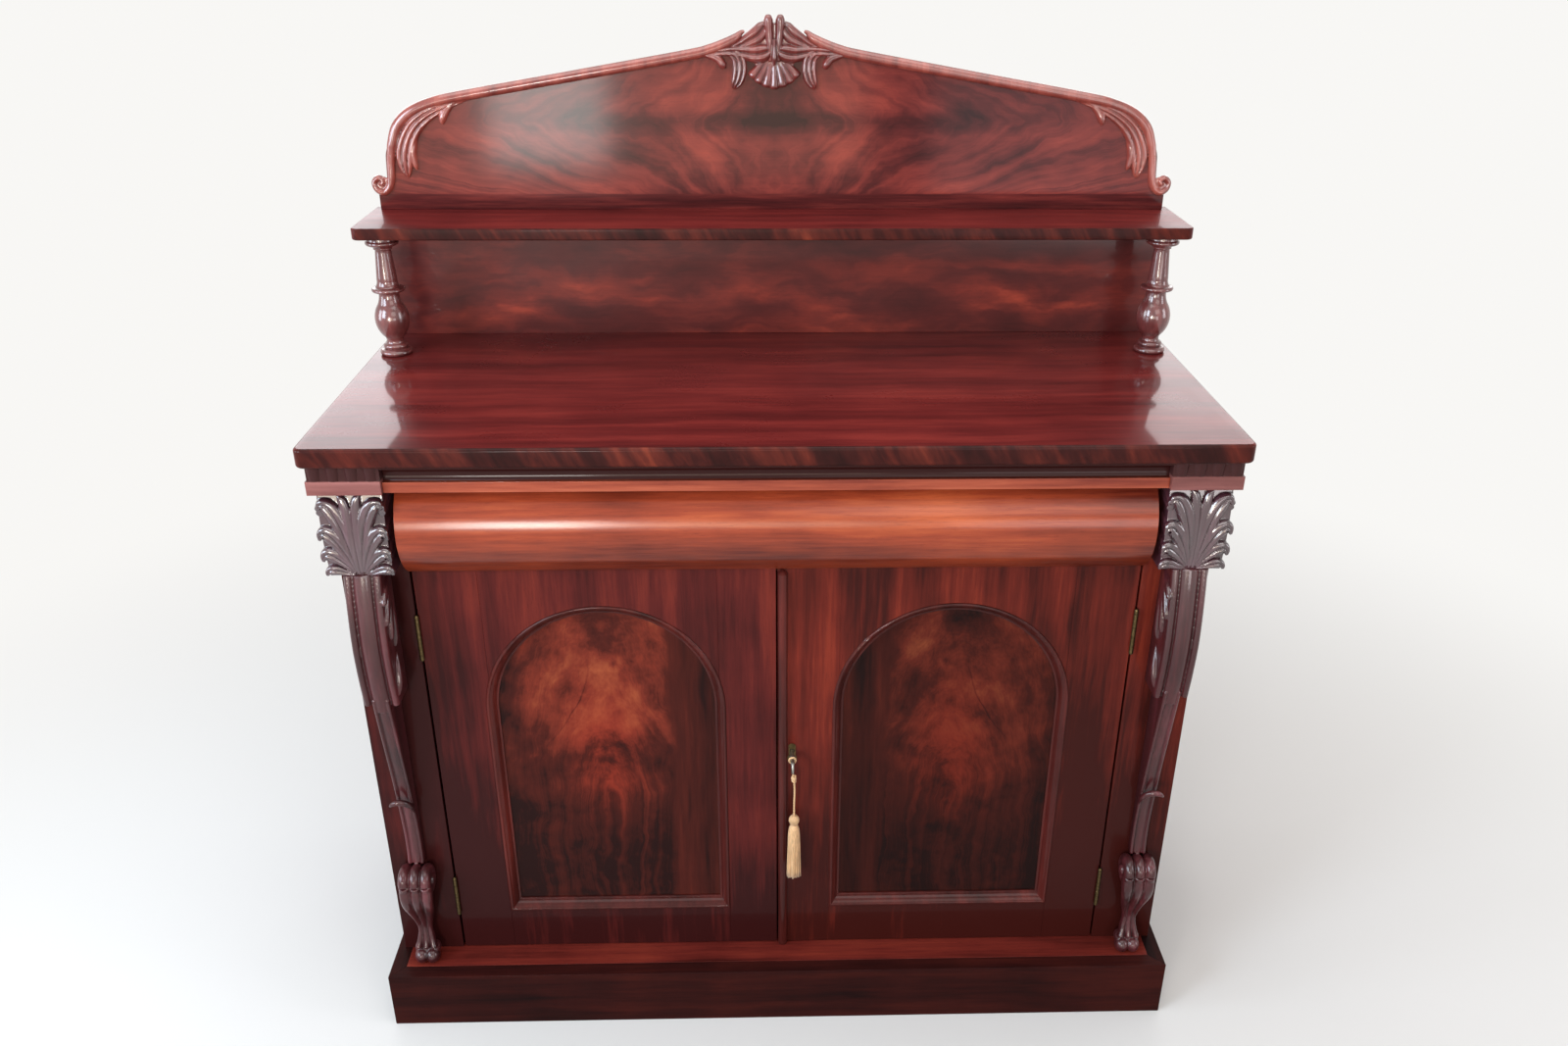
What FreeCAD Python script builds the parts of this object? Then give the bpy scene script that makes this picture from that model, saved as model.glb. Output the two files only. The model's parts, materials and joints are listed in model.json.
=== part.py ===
import FreeCAD, Part
import math
import os

# A mahogany chiffonier, in millimetres. Origin on the floor under the middle of
# the piece, +X to its right as seen from the front, -Y towards the viewer, +Z up.
# Right-hand pieces are drawn and mirrored to the left.

# Top board, which sets the overall width and depth
WIDTH = 1160.0
DEPTH = 490.0
BOARD_THICK = 25.0
CORNER_RADIUS = 12.0
EDGE_RADIUS = 4.0
FRONT_OVERHANG = 64.0      # board's front edge to the face of the doors
SIDE_OVERHANG = 12.0       # board's end to the carcase side

# Heights that stack up from the floor to the top board
PLINTH_HEIGHT = 93.0
DOOR_HEIGHT = 641.0
DRAWER_HEIGHT = 128.0
FRIEZE_HEIGHT = 37.0
GAP = 2.0                  # round doors and drawer
FIT = 0.3                  # running clearance between parts that slide

# Boards
SIDE_THICK = 20.0
PLINTH_THICK = 22.0
PLINTH_FRONT = 62.0        # plinth's front to the face of the doors
PLINTH_SIDE = 11.0         # plinth's end to the carcase side
BOTTOM_THICK = 18.0
BLOCK_LEG = 40.0           # glue blocks
BACK_INSET = 5.0           # carcase back to the board's back edge
BACK_THICK = 10.0
BACK_BOARDS = 7
REBATE = 10.0
STILE_WIDTH = 88.0
STILE_THICK = 22.0
RAIL_THICK = 19.5
RAIL_DEPTH = 50.0
RUNNER_WIDTH = 92.0
GUIDE_HEIGHT = 22.0
SHELF_HEIGHT = 400.0       # loose shelf inside, from the floor to its underside
SHELF_THICK = 18.0
CLEAT = 16.0

# Doors
DOOR_THICK = 22.0
MEETING_X = -3.0           # the line where the doors meet
HINGE_GAP = 3.0
ARCH_WIDTH = 328.0         # opening in the door frame
BOTTOM_RAIL = 68.0
SPRING_HEIGHT = 422.0      # door's foot to where the arch springs
HORN = 8.0                 # how far the stile laps past the arch's springing
MOULD_WIDTH = 15.0
MOULD_PROUD = 1.5
PANEL_DEPTH = 12.0         # door face to panel face
PANEL_THICK = 8.0
PANEL_LAP = 7.0
BEAD_WIDTH = 13.0
BEAD_PROUD = 8.0

# Butt hinges
HINGE_LENGTH = 65.0
HINGE_END = 67.0           # door's end to the hinge
LEAF_THICK = 1.2
LEAF_DEPTH = 20.0
KNUCKLE_RADIUS = 3.0
PIN_RADIUS = 1.5
PIN_CLEAR = 0.05
KNUCKLES = 5

# Lock, key and tassel
KEY_X = 18.0
KEY_Z = 447.0
SHANK_RADIUS = 2.6
KEY_OUT = 50.0             # door face to the end of the bow
KEY_COLLAR = 24.0          # door face to the neck that the tassel hangs from
BOW_RADIUS = 10.0
BOW_THICK = 3.6
BIT_LENGTH = 9.0
BOLT_THROW = 10.0
BOLT_HEIGHT = 12.0
BOLT_THICK = 8.0
BOLT_LENGTH = 34.0
LOCK_WIDTH = 46.0
LOCK_HEIGHT = 70.0
LOCK_DEPTH = 14.0
LOCK_WALL = 1.6
CORD_RADIUS = 1.5
HEAD_RADIUS = 8.0
HEAD_TOP = 95.0            # key's axis down to the top of the tassel's head
SKIRT_LENGTH = 92.0
SKIRT_RADIUS = 11.0

# Slide bolt on the left door
SLIDE_X = 32.0             # meeting line to the bolt
SLIDE_RADIUS = 3.5
SLIDE_LENGTH = 62.0
SLIDE_THROW = 12.0
SLIDE_PLATE = 2.0

# Drawer
DRAWER_BULGE = 38.0
DRAWER_LIP = 6.0           # door face to the cushion's edges
DRAWER_THICK = 24.0        # door face to the back of the drawer's front
SIDE_BOARD = 12.0
DRAWER_SHORT = 30.0        # back boards to the drawer's back
DOVETAIL = 10.0
TAILS = 4
GROOVE = 6.0
BOTTOM_BOARD = 6.0

# Frieze moulding, measured forward from the door face
FILLET_FORWARD = 50.0
FILLET_HEIGHT = 14.0
COVE_FORWARD = 57.0
COVE_SET = 5.0

# Consoles, measured forward from the door face and sideways from their own middle
CONSOLE_SET = 41.0         # carcase side to the console's middle
BLOCK_WIDTH = 90.0
BLOCK_FORWARD = 57.0
BAND_HEIGHT = 18.0
LOBES = 4
SIDE_LOBES = 2
LOBE_PROUD = 4.0
CAPITAL_WIDTH = 86.0
CAPITAL_FLARE = 4.0
CAPITAL_LIFT = 12.0        # drawer's underside to the capital's foot
CAPITAL_BACK = 46.0
CAPITAL_BELLY = 52.0
REED_SPREAD = 24.0
TORUS_HALF = 12.5
REED_END = 560.0
STEM_HALF = 11.0
HOOK_Z = 376.0
VOLUTE_Z = 243.0
VOLUTE_RADIUS = 24.0
VOLUTE_HALF = 24.0
VOLUTE_FORWARD = 22.0
ROLL_PITCH = 15.5
NECK_Z = 152.0
FOOT_RADIUS = 13.0

# Gallery
GALLERY_HEIGHT = 169.0     # board's top to the shelf's underside
GALLERY_THICK = 20.0
SHELF_DEPTH = 149.0
SHELF_BOARD = 16.0
COLUMN_IN = 33.0           # shelf's end to the column's axis
COLUMN_SET = 34.0          # shelf's front edge to the column's axis
DOWEL_RADIUS = 6.0
DOWEL_LENGTH = 10.0
RAIL_RADIUS = 7.5
CENTRE_RISE = 223.0        # shelf's top to the rail's middle line under the crest
END_RISE = 36.0            # shelf's top to the middle of the end scroll
SCROLL_RADIUS = 14.0
SCROLL_TUBE = 4.6
SCROLL_IN = 16.5           # end of the shelf to the middle of the scroll
CREST_RISE = 263.0         # shelf's top to the top of the crest
CREST_THICK = 32.0
CREST_HALF = 44.0
SHELL_RIBS = 7
SHELL_REACH = 54.0

# Planes and levels worked out from the sizes above
FRONT = -DEPTH / 2 + FRONT_OVERHANG
BACK = DEPTH / 2
CASE_BACK = BACK - BACK_INSET
CASE_HALF = WIDTH / 2 - SIDE_OVERHANG
STILE_IN = CASE_HALF - STILE_WIDTH
CONSOLE_X = CASE_HALF - CONSOLE_SET
COLUMN_X = WIDTH / 2 - COLUMN_IN
COLUMN_Y = BACK - SHELF_DEPTH + COLUMN_SET
DOOR_Z0 = PLINTH_HEIGHT + GAP
DOOR_Z1 = DOOR_Z0 + DOOR_HEIGHT
DRAWER_Z0 = DOOR_Z1 + GAP
DRAWER_Z1 = DRAWER_Z0 + DRAWER_HEIGHT
FRIEZE_Z0 = DRAWER_Z1 + GAP
BOARD_Z0 = FRIEZE_Z0 + FRIEZE_HEIGHT
BOARD_Z1 = BOARD_Z0 + BOARD_THICK
RAIL_TOP = DRAWER_Z0 - FIT
RAIL_FRONT = FRONT + DOOR_THICK + 2 * FIT
CAPITAL_Z0 = DRAWER_Z0 + CAPITAL_LIFT
SHELF_Z0 = BOARD_Z1 + GALLERY_HEIGHT
SHELF_Z1 = SHELF_Z0 + SHELF_BOARD
GALLERY_FACE = BACK - GALLERY_THICK
DOOR_BACK = FRONT + DOOR_THICK
DRAWER_REAR = FRONT + DRAWER_THICK
HINGE_X = STILE_IN - HINGE_GAP / 2
HINGE_Y = FRONT - KNUCKLE_RADIUS - FIT
DOOR_EDGE = STILE_IN - HINGE_GAP
ARCH_CENTRE = (DOOR_EDGE - GAP / 2) / 2
HEAD_X = KEY_X + 2.6

X_AXIS = FreeCAD.Vector(1, 0, 0)
Y_AXIS = FreeCAD.Vector(0, 1, 0)
Z_AXIS = FreeCAD.Vector(0, 0, 1)
ORIGIN = FreeCAD.Vector(0, 0, 0)


def box(x0, x1, y0, y1, z0, z1):
    """A block between two corners."""
    return Part.makeBox(x1 - x0, y1 - y0, z1 - z0, FreeCAD.Vector(x0, y0, z0))


def rod(radius, start, end):
    """A cylinder from one point to another."""
    a = FreeCAD.Vector(*start)
    along = FreeCAD.Vector(*end) - a
    return Part.makeCylinder(radius, along.Length, a, along)


def ball(radius, *centre):
    return Part.makeSphere(radius, FreeCAD.Vector(*centre))


def tube(radius, path):
    """A round bar swept along a wire."""
    start, on = (v.Point for v in path.OrderedVertexes[:2])
    heading = path.OrderedEdges[0].tangentAt(path.OrderedEdges[0].FirstParameter)
    if heading.dot(on - start) < 0:
        heading = -heading
    ring = Part.Wire([Part.Circle(start, heading, radius).toShape()])
    return path.makePipeShell([ring], True, True)


def reed(radius, start, middle, end):
    """A round-ended carved reed that bends through three places."""
    a, m, b = (FreeCAD.Vector(*place) for place in (start, middle, end))
    bar = tube(radius, Part.Wire([Part.Arc(a, m, b).toShape()]))
    return fused([bar, Part.makeSphere(radius, a), Part.makeSphere(radius, b)])


def horn(r_start, r_end, start, end):
    """A straight, tapered and round-ended leaf."""
    a = FreeCAD.Vector(*start)
    b = FreeCAD.Vector(*end)
    cone = Part.makeCone(r_start, r_end, (b - a).Length, a, b - a)
    return fused([cone, Part.makeSphere(r_start, a), Part.makeSphere(r_end, b)])


def mirrored(shape):
    """The left-hand twin of a right-hand piece."""
    return shape.mirror(ORIGIN, X_AXIS)


def in_xy(z):
    return lambda a, b: FreeCAD.Vector(a, b, z)


def in_xz(y):
    return lambda a, b: FreeCAD.Vector(a, y, b)


def in_yz(x):
    return lambda a, b: FreeCAD.Vector(x, a, b)


def outline(place, start, *steps):
    """A face inside lines and arcs: a step is an end point, or (through, end) for an arc."""
    first = place(*start)
    here = first
    edges = []
    for step in steps:
        curved = isinstance(step[0], tuple)
        end = place(*(step[1] if curved else step))
        if curved:
            edges.append(Part.Arc(here, place(*step[0]), end).toShape())
        else:
            edges.append(Part.LineSegment(here, end).toShape())
        here = end
    if (here - first).Length > 1e-6:
        edges.append(Part.LineSegment(here, first).toShape())
    return Part.Face(Part.Wire(edges))


def push(face, x=0.0, y=0.0, z=0.0):
    return face.extrude(FreeCAD.Vector(x, y, z))


def turned(profile, axis_point):
    """A turning: the profile's face, drawn in X and Z, spun about an upright axis."""
    return profile.revolve(FreeCAD.Vector(*axis_point), Z_AXIS, 360)


def fused(shapes):
    whole = shapes[0]
    for other in shapes[1:]:
        whole = whole.fuse(other)
    return whole.removeSplitter()


def eased(solid, radius, picks):
    """The solid with the picked edges rounded."""
    return solid.makeFillet(radius, [e for e in solid.Edges if picks(e)])


def save(name, *solids):
    """Write a node, one or more separate solids, to its STEP file."""
    shape = solids[0] if len(solids) == 1 else Part.makeCompound(list(solids))
    shape.exportStep("parts/" + name + ".step")
    print(name, len(shape.Solids), round(shape.Volume / 1000.0, 1), shape.isValid())


def save_pair(name, shape):
    save(name + "_right", shape)
    save(name + "_left", mirrored(shape))


# ---------------------------------------------------------------- base and carcase

def plinth():
    front = FRONT - PLINTH_FRONT
    half = CASE_HALF + PLINTH_SIDE
    inner = half - PLINTH_THICK
    inside = front + PLINTH_THICK
    face = outline(in_xy(0), (-half, front), (half, front), (inner, inside), (-inner, inside))
    save("plinth_front", push(face, z=PLINTH_HEIGHT))
    side = outline(in_xy(0), (half, front), (half, CASE_BACK), (inner, CASE_BACK), (inner, inside))
    side = push(side, z=PLINTH_HEIGHT)
    save("plinth_sides", side, mirrored(side))
    top = PLINTH_HEIGHT - BOTTOM_THICK
    rear = CASE_BACK - PLINTH_THICK
    save("plinth_back", box(-inner, inner, rear, CASE_BACK, 0, top))
    blocks = []
    for corner_y, towards in ((inside, 1), (rear, -1)):
        for side_sign in (-1, 1):
            x = side_sign * inner
            leg_x = x - side_sign * BLOCK_LEG
            leg_y = corner_y + towards * BLOCK_LEG
            leg = outline(in_xy(top), (x, corner_y), (leg_x, corner_y), (x, leg_y))
            blocks.append(push(leg, z=-0.8 * top))
    save("plinth_glue_blocks", *blocks)
    save("bottom_board", box(-inner, inner, inside, CASE_BACK, top, PLINTH_HEIGHT))


def carcase():
    side = box(CASE_HALF - SIDE_THICK, CASE_HALF, FRONT + STILE_THICK, CASE_BACK, PLINTH_HEIGHT, BOARD_Z0)
    inner = CASE_HALF - SIDE_THICK
    back_face = CASE_BACK - BACK_THICK
    rebate = box(inner, inner + REBATE, back_face, CASE_BACK, PLINTH_HEIGHT, BOARD_Z0)
    save_pair("carcase_side", side.cut(rebate))
    stile = box(STILE_IN, CASE_HALF, FRONT, FRONT + STILE_THICK, PLINTH_HEIGHT, BOARD_Z0)
    save_pair("front_stile", stile)

    pitch = 2 * (inner + REBATE) / BACK_BOARDS
    boards = []
    for i in range(BACK_BOARDS):
        x = -(inner + REBATE) + i * pitch
        boards.append(box(x, x + pitch, back_face, CASE_BACK, PLINTH_HEIGHT, BOARD_Z0))
    save("back_boards", *boards)

    rail_back = RAIL_FRONT + RAIL_DEPTH
    save("divider_rail", box(-inner, inner, RAIL_FRONT, rail_back, RAIL_TOP - RAIL_THICK, RAIL_TOP))
    guide_in = STILE_IN + FIT
    runners = []
    kickers = []
    for sign in (1, -1):
        runner = box(inner - RUNNER_WIDTH, inner, rail_back, back_face, RAIL_TOP - RAIL_THICK, RAIL_TOP)
        guide = box(guide_in, inner, rail_back, back_face, RAIL_TOP, RAIL_TOP + GUIDE_HEIGHT)
        kicker = box(inner - RUNNER_WIDTH, inner, rail_back, back_face, FRIEZE_Z0, BOARD_Z0)
        pair = [runner.fuse(guide).removeSplitter(), kicker]
        if sign < 0:
            pair = [mirrored(s) for s in pair]
        runners.append(pair[0])
        kickers.append(pair[1])
    save("drawer_runners", *runners)
    save("drawer_kickers", *kickers)
    stop_front = DRAWER_REAR + FIT
    stop_x = inner / 2
    stops = [box(s * stop_x - 20, s * stop_x + 20, stop_front, stop_front + 16, RAIL_TOP, RAIL_TOP + 5)
             for s in (-1, 1)]
    save("drawer_stops", *stops)

    shelf_front = FRONT + 3 * DOOR_THICK
    shelf_back = back_face - FIT
    cleat = box(inner - CLEAT, inner, shelf_front, shelf_back, SHELF_HEIGHT - SHELF_THICK, SHELF_HEIGHT)
    save("shelf_cleats", cleat, mirrored(cleat))
    save("inner_shelf", box(-inner + FIT, inner - FIT, shelf_front, shelf_back,
                            SHELF_HEIGHT, SHELF_HEIGHT + SHELF_THICK))


def frieze_rail():
    """Flat fillet with a cove above it, between the console blocks."""
    half = CONSOLE_X - BLOCK_WIDTH / 2
    fillet = FRONT - FILLET_FORWARD
    cove = FRONT - COVE_FORWARD
    rear = DRAWER_REAR
    fillet_top = FRIEZE_Z0 + FILLET_HEIGHT
    lip = BOARD_Z0 - 4.0
    sunk = fillet + COVE_SET
    face = outline(in_yz(-half), (rear, FRIEZE_Z0), (fillet, FRIEZE_Z0), (fillet, fillet_top),
                   (sunk, fillet_top), ((sunk + 1.5, (fillet_top + lip) / 2 + 2), (cove, lip)),
                   (cove, BOARD_Z0), (rear, BOARD_Z0))
    moulding = push(face, x=2 * half)
    stiles = [box(s * STILE_IN if s > 0 else -half, half if s > 0 else -STILE_IN,
                  FRONT, rear, FRIEZE_Z0, BOARD_Z0) for s in (-1, 1)]
    save("frieze_rail", moulding.cut(stiles))


def top_board():
    half = WIDTH / 2
    slab = box(-half, half, -DEPTH / 2, BACK, BOARD_Z0, BOARD_Z1)
    front = -DEPTH / 2
    slab = eased(slab, CORNER_RADIUS,
                 lambda e: abs(e.CenterOfMass.y - front) < 1e-3 and abs(e.CenterOfMass.x) > half - 1e-3)
    slab = eased(slab, EDGE_RADIUS,
                 lambda e: e.BoundBox.ZLength < 1e-3 and e.CenterOfMass.y < BACK - 1e-3)
    for s in (-1, 1):
        slab = slab.cut(dowel(s, BOARD_Z1 - DOWEL_LENGTH, BOARD_Z1))
    save("top_board", slab)


# ---------------------------------------------------------------- consoles

def console_block():
    """Square block under the top board with a row of lobes round its upper half."""
    x0 = CONSOLE_X - BLOCK_WIDTH / 2
    x1 = CONSOLE_X + BLOCK_WIDTH / 2
    y0 = FRONT - BLOCK_FORWARD
    band_top = FRIEZE_Z0 + BAND_HEIGHT
    parts = [box(x0, x1, y0, FRONT, FRIEZE_Z0, band_top),
             box(x0, x1 - 2, y0 + 2, FRONT, band_top, BOARD_Z0)]
    pitch = BLOCK_WIDTH / LOBES
    for i in range(LOBES):
        x = x0 + (i + 0.5) * pitch
        parts.append(lobe(x, y0 + 2, pitch / 2 - 0.6, band_top))
    for i in range(SIDE_LOBES):
        y = y0 + (i + 0.65) * pitch
        parts.append(lobe(x1 - pitch / 2, y, pitch / 2 - 0.6, band_top))
    block = fused(parts).common(box(x0, x1 + LOBE_PROUD, y0 - 2 * LOBE_PROUD, FRONT, FRIEZE_Z0, BOARD_Z0))
    save_pair("console_block", block)


def lobe(x, y, radius, z0):
    """An upright lobe, fuller at the top than at its foot."""
    foot = FreeCAD.Vector(x, y + radius - LOBE_PROUD, z0)
    return Part.makeCone(radius * 0.86, radius, BOARD_Z0 - z0, foot)


# the capital's leaf fingers: how far each tip lies sideways, up its height as a share, and its radius
FINGERS = ((18, 0.93, 4.6), (34, 0.86, 5.2), (38, 0.61, 5.6), (39, 0.37, 5.4), (39, 0.14, 4.6))


def capital_forward(share):
    """How far the capital's belly stands forward of the doors, at a share of its height."""
    return CAPITAL_BELLY - 4 * (CAPITAL_BELLY - CAPITAL_BACK) * (share - 0.5) ** 2


def capital():
    """Block carved with an acanthus leaf: twin middle ribs and fingers that fan out from its foot."""
    z0 = CAPITAL_Z0
    height = FRIEZE_Z0 - z0
    half = CAPITAL_WIDTH / 2
    flare = half + CAPITAL_FLARE
    front_view = outline(in_xz(0), (CONSOLE_X - half, z0), (CONSOLE_X + flare, z0),
                         ((CONSOLE_X + half - 1, z0 + 2 * height / 3), (CONSOLE_X + half, FRIEZE_Z0)),
                         (CONSOLE_X - half, FRIEZE_Z0))
    bounds = push(front_view, y=-4 * DEPTH).common(box(0, WIDTH, -DEPTH, FRONT, 0, BOARD_Z0))
    side_view = outline(in_yz(0), (FRONT, z0), (FRONT - CAPITAL_BACK, z0),
                        ((FRONT - CAPITAL_BELLY, z0 + height / 2), (FRONT - CAPITAL_BACK, FRIEZE_Z0)),
                        (FRONT, FRIEZE_Z0))
    core = push(side_view, x=WIDTH).common(bounds)

    def at(sideways, share, sunk):
        return CONSOLE_X + sideways, FRONT - capital_forward(share) + sunk, z0 + share * height

    reeds = []
    for s in (-1, 1):
        reeds.append(reed(3.4, at(s * 1.5, 0.02, 2.0), at(s * 3.2, 0.5, 0.5), at(s * 5.5, 0.97, 1.0)))
        for reach, rise, radius in FINGERS:
            bend = 0.42 + 0.12 * (1 - rise)
            reeds.append(reed(radius, at(s * 4, 0.05, 3.5), at(s * reach * bend, 0.05 + rise * 0.5, 1.0),
                              at(s * reach, rise, 0.5)))
    carved = fused(reeds).common(bounds)
    save_pair("capital", fused([core, carved]))


def scroll_face(x, inset):
    """Side view of the S-scroll from under the capital to the volute, its front set back by 'inset'."""
    drop = CAPITAL_Z0 - VOLUTE_Z - VOLUTE_RADIUS

    def at(forward, share):
        return FRONT - forward + inset, CAPITAL_Z0 - share * drop

    return outline(in_yz(x), at(47, 0), (at(57.5, 0.1), at(60.5, 0.22)), (at(52.5, 0.39), at(36, 0.58)),
                   (at(20, 0.77), at(13.5, 0.9)), (at(13.7, 0.95), at(15.5, 1)),
                   (FRONT, at(0, 1)[1]), (FRONT, CAPITAL_Z0))


def strip(x0, x1, z0, inset, rounding):
    """A band of the S-scroll between two widths, down to the level z0, its front edges rounded."""
    body = push(scroll_face(x0, inset), x=x1 - x0)
    body = body.common(box(x0, x1, -DEPTH, FRONT, z0, BOARD_Z0))
    sides = (x0, x1)
    return eased(body, rounding, lambda e: e.BoundBox.XLength < 1e-3 and e.BoundBox.ZLength > 10
                 and e.CenterOfMass.y < FRONT - 5 and min(abs(e.CenterOfMass.x - x) for x in sides) < 1e-3)


def volute():
    """Three rolled reeds that curl under at the foot of the scroll."""
    x = CONSOLE_X
    y = FRONT - VOLUTE_FORWARD
    crown = VOLUTE_Z + VOLUTE_RADIUS
    valley = crown - 4
    roll = outline(in_xz(y), (x - VOLUTE_HALF, VOLUTE_Z), (x - VOLUTE_HALF, valley - 3),
                   ((x - ROLL_PITCH, crown - 2), (x - ROLL_PITCH / 2, valley)),
                   ((x, crown), (x + ROLL_PITCH / 2, valley)),
                   ((x + ROLL_PITCH, crown - 2), (x + VOLUTE_HALF, valley - 3)), (x + VOLUTE_HALF, VOLUTE_Z))
    rolls = roll.revolve(FreeCAD.Vector(x, y, VOLUTE_Z), X_AXIS, 360)
    eyes = [ball(8, x + s * (VOLUTE_HALF - 2), y, VOLUTE_Z) for s in (-1, 1)]
    return fused([rolls] + eyes)


def console():
    """Reeded S-scroll: a torus between two reeds, a narrow stem, a rolled volute, leaf, neck and foot."""
    x = CONSOLE_X
    mid_z = VOLUTE_Z + VOLUTE_RADIUS

    def at(sideways, forward, z):
        return x + sideways, FRONT - forward, z

    pieces = [strip(x - REED_SPREAD + 1, x + REED_SPREAD - 1, REED_END, 10.0, 2.0),
              strip(x - TORUS_HALF, x + TORUS_HALF, REED_END, 0.0, 9.0),
              strip(x - STEM_HALF, x + STEM_HALF, mid_z - 10, 6.0, 1.5),
              strip(x - STEM_HALF + 3, x + STEM_HALF - 3, mid_z - 10, 2.5, 6.0)]
    for s in (-1, 1):
        a = x + s * (TORUS_HALF + 1.5)
        b = x + s * REED_SPREAD
        pieces.append(strip(min(a, b), max(a, b), REED_END + 4, 1.5, 4.0))
    curl = at(2, 28, HOOK_Z + 10)
    pieces.append(reed(4.4, at(-9, 14, HOOK_Z - 12), at(-5, 21, HOOK_Z + 3), curl))
    pieces.append(reed(3.6, curl, at(10, 32, HOOK_Z + 11), at(17, 30, HOOK_Z + 4)))
    pieces.append(volute())
    pieces.append(box(x - STEM_HALF, x + STEM_HALF, FRONT - VOLUTE_FORWARD, FRONT, VOLUTE_Z, mid_z))
    knee_z = (VOLUTE_Z + NECK_Z) / 2
    for i in (-1, 0, 1):
        upper = at(i * ROLL_PITCH, VOLUTE_FORWARD + 14, VOLUTE_Z - 12)
        knee = at(i * 0.75 * ROLL_PITCH, VOLUTE_FORWARD + 4, knee_z)
        neck = at(i * 0.4 * ROLL_PITCH, VOLUTE_FORWARD - 5, NECK_Z)
        pieces.append(horn(8.0, 6.0, upper, knee))
        pieces.append(horn(6.0, 4.0, knee, neck))
    pieces.append(Part.makeCone(9, 19, VOLUTE_Z - NECK_Z, FreeCAD.Vector(x, FRONT - 10, NECK_Z)))
    pieces.append(Part.makeCone(14, 9, NECK_Z - PLINTH_HEIGHT, FreeCAD.Vector(x, FRONT - 14, PLINTH_HEIGHT)))
    for s in (-1, 1):
        toe = PLINTH_HEIGHT + FOOT_RADIUS - 2
        pieces.append(ball(FOOT_RADIUS, *at(s * 8.5, FOOT_RADIUS + 14, toe)))
    leaves = (((18, 170), (34, 140), (44, 100)), ((14, 140), (26, 108), (34, 78)),
              ((26, 62), (34, 42), (42, 16)))
    for places in leaves:
        pieces.append(reed(4.5, *(at(-REED_SPREAD, forward, REED_END + up) for forward, up in places)))
    whole = fused(pieces).common(box(x - 60, x + 60, -DEPTH, FRONT, PLINTH_HEIGHT, CAPITAL_Z0))
    save_pair("console", whole.removeSplitter())


# ---------------------------------------------------------------- gallery

def dowel(sign, z0, z1):
    return rod(DOWEL_RADIUS, (sign * COLUMN_X, COLUMN_Y, z0), (sign * COLUMN_X, COLUMN_Y, z1))


def column():
    """Turned column: base torus, vase, ring, tapering shaft and cap, with a dowel at each end."""
    y = COLUMN_Y
    h = GALLERY_HEIGHT

    def at(radius, share):
        return (COLUMN_X + radius, BOARD_Z1 + share * h)

    base = [at(19, 0), (at(22.5, 0.024), at(19, 0.048)), at(15.5, 0.056), (at(17, 0.075), at(15, 0.094)),
            at(12.5, 0.1), (at(11.8, 0.125), at(13, 0.15))]
    vase = [(at(23.5, 0.27), at(17.5, 0.43)), (at(14.6, 0.48), at(14, 0.53))]
    ring = [at(17, 0.535), at(21, 0.54), (at(23, 0.556), at(21, 0.572)), at(17, 0.578)]
    shaft = [(at(15, 0.6), at(14.2, 0.64)), at(10.8, 0.885), at(13, 0.893)]
    cap = [(at(14.5, 0.92), at(20, 0.925)), (at(23, 0.945), at(20.5, 0.965)), at(20.5, 1), at(0, 1)]
    profile = outline(in_xz(y), at(0, 0), *base, *vase, *ring, *shaft, *cap)
    body = turned(profile, (COLUMN_X, y, 0))
    pins = [dowel(1, BOARD_Z1 - DOWEL_LENGTH, BOARD_Z1), dowel(1, SHELF_Z0, SHELF_Z0 + DOWEL_LENGTH)]
    save_pair("column", fused([body] + pins))


def gallery_shelf():
    half = WIDTH / 2
    front = BACK - SHELF_DEPTH
    slab = box(-half, half, front, BACK, SHELF_Z0, SHELF_Z1)
    slab = eased(slab, CORNER_RADIUS,
                 lambda e: abs(e.CenterOfMass.y - front) < 1e-3 and abs(e.CenterOfMass.x) > half - 1e-3)
    slab = eased(slab, EDGE_RADIUS / 2,
                 lambda e: e.BoundBox.ZLength < 1e-3 and e.CenterOfMass.y < BACK - 1e-3)
    for s in (-1, 1):
        slab = slab.cut(dowel(s, SHELF_Z0, SHELF_Z0 + DOWEL_LENGTH))
    save("gallery_shelf", slab)


def rounded_path(points, radii):
    """Straight runs joined by tangent arcs, one radius for each inner point."""
    vectors = [FreeCAD.Vector(x, 0, z) for x, z in points]
    edges = []
    here = vectors[0]
    for before, corner, after, radius in zip(vectors, vectors[1:], vectors[2:], radii):
        back = (before - corner).normalize()
        on = (after - corner).normalize()
        half_angle = back.getAngle(on) / 2
        cut = radius / math.tan(half_angle)
        start = corner + back * cut
        end = corner + on * cut
        middle = (back + on).normalize()
        through = corner + middle * (radius / math.sin(half_angle) - radius)
        edges.append(Part.LineSegment(here, start).toShape())
        edges.append(Part.Arc(start, through, end).toShape())
        here = end
    edges.append(Part.LineSegment(here, vectors[-1]).toShape())
    return edges


def pediment_line():
    """Middle line of the right-hand rail, from the crest down to where it narrows into the end scroll."""
    end_x = WIDTH / 2 - SCROLL_IN
    end_z = SHELF_Z1 + END_RISE
    centre_z = SHELF_Z1 + CENTRE_RISE + 6
    slope = math.tan(math.radians(9.5))
    knee_x = end_x - 84
    points = ((0, centre_z), (knee_x, centre_z - knee_x * slope), (end_x - 32, end_z + 84),
              (end_x - 16.5, end_z + 40), (end_x - SCROLL_RADIUS, end_z))
    return rounded_path(points, (6 * SCROLL_IN, 2.5 * SCROLL_IN, 2.5 * SCROLL_IN))


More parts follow.
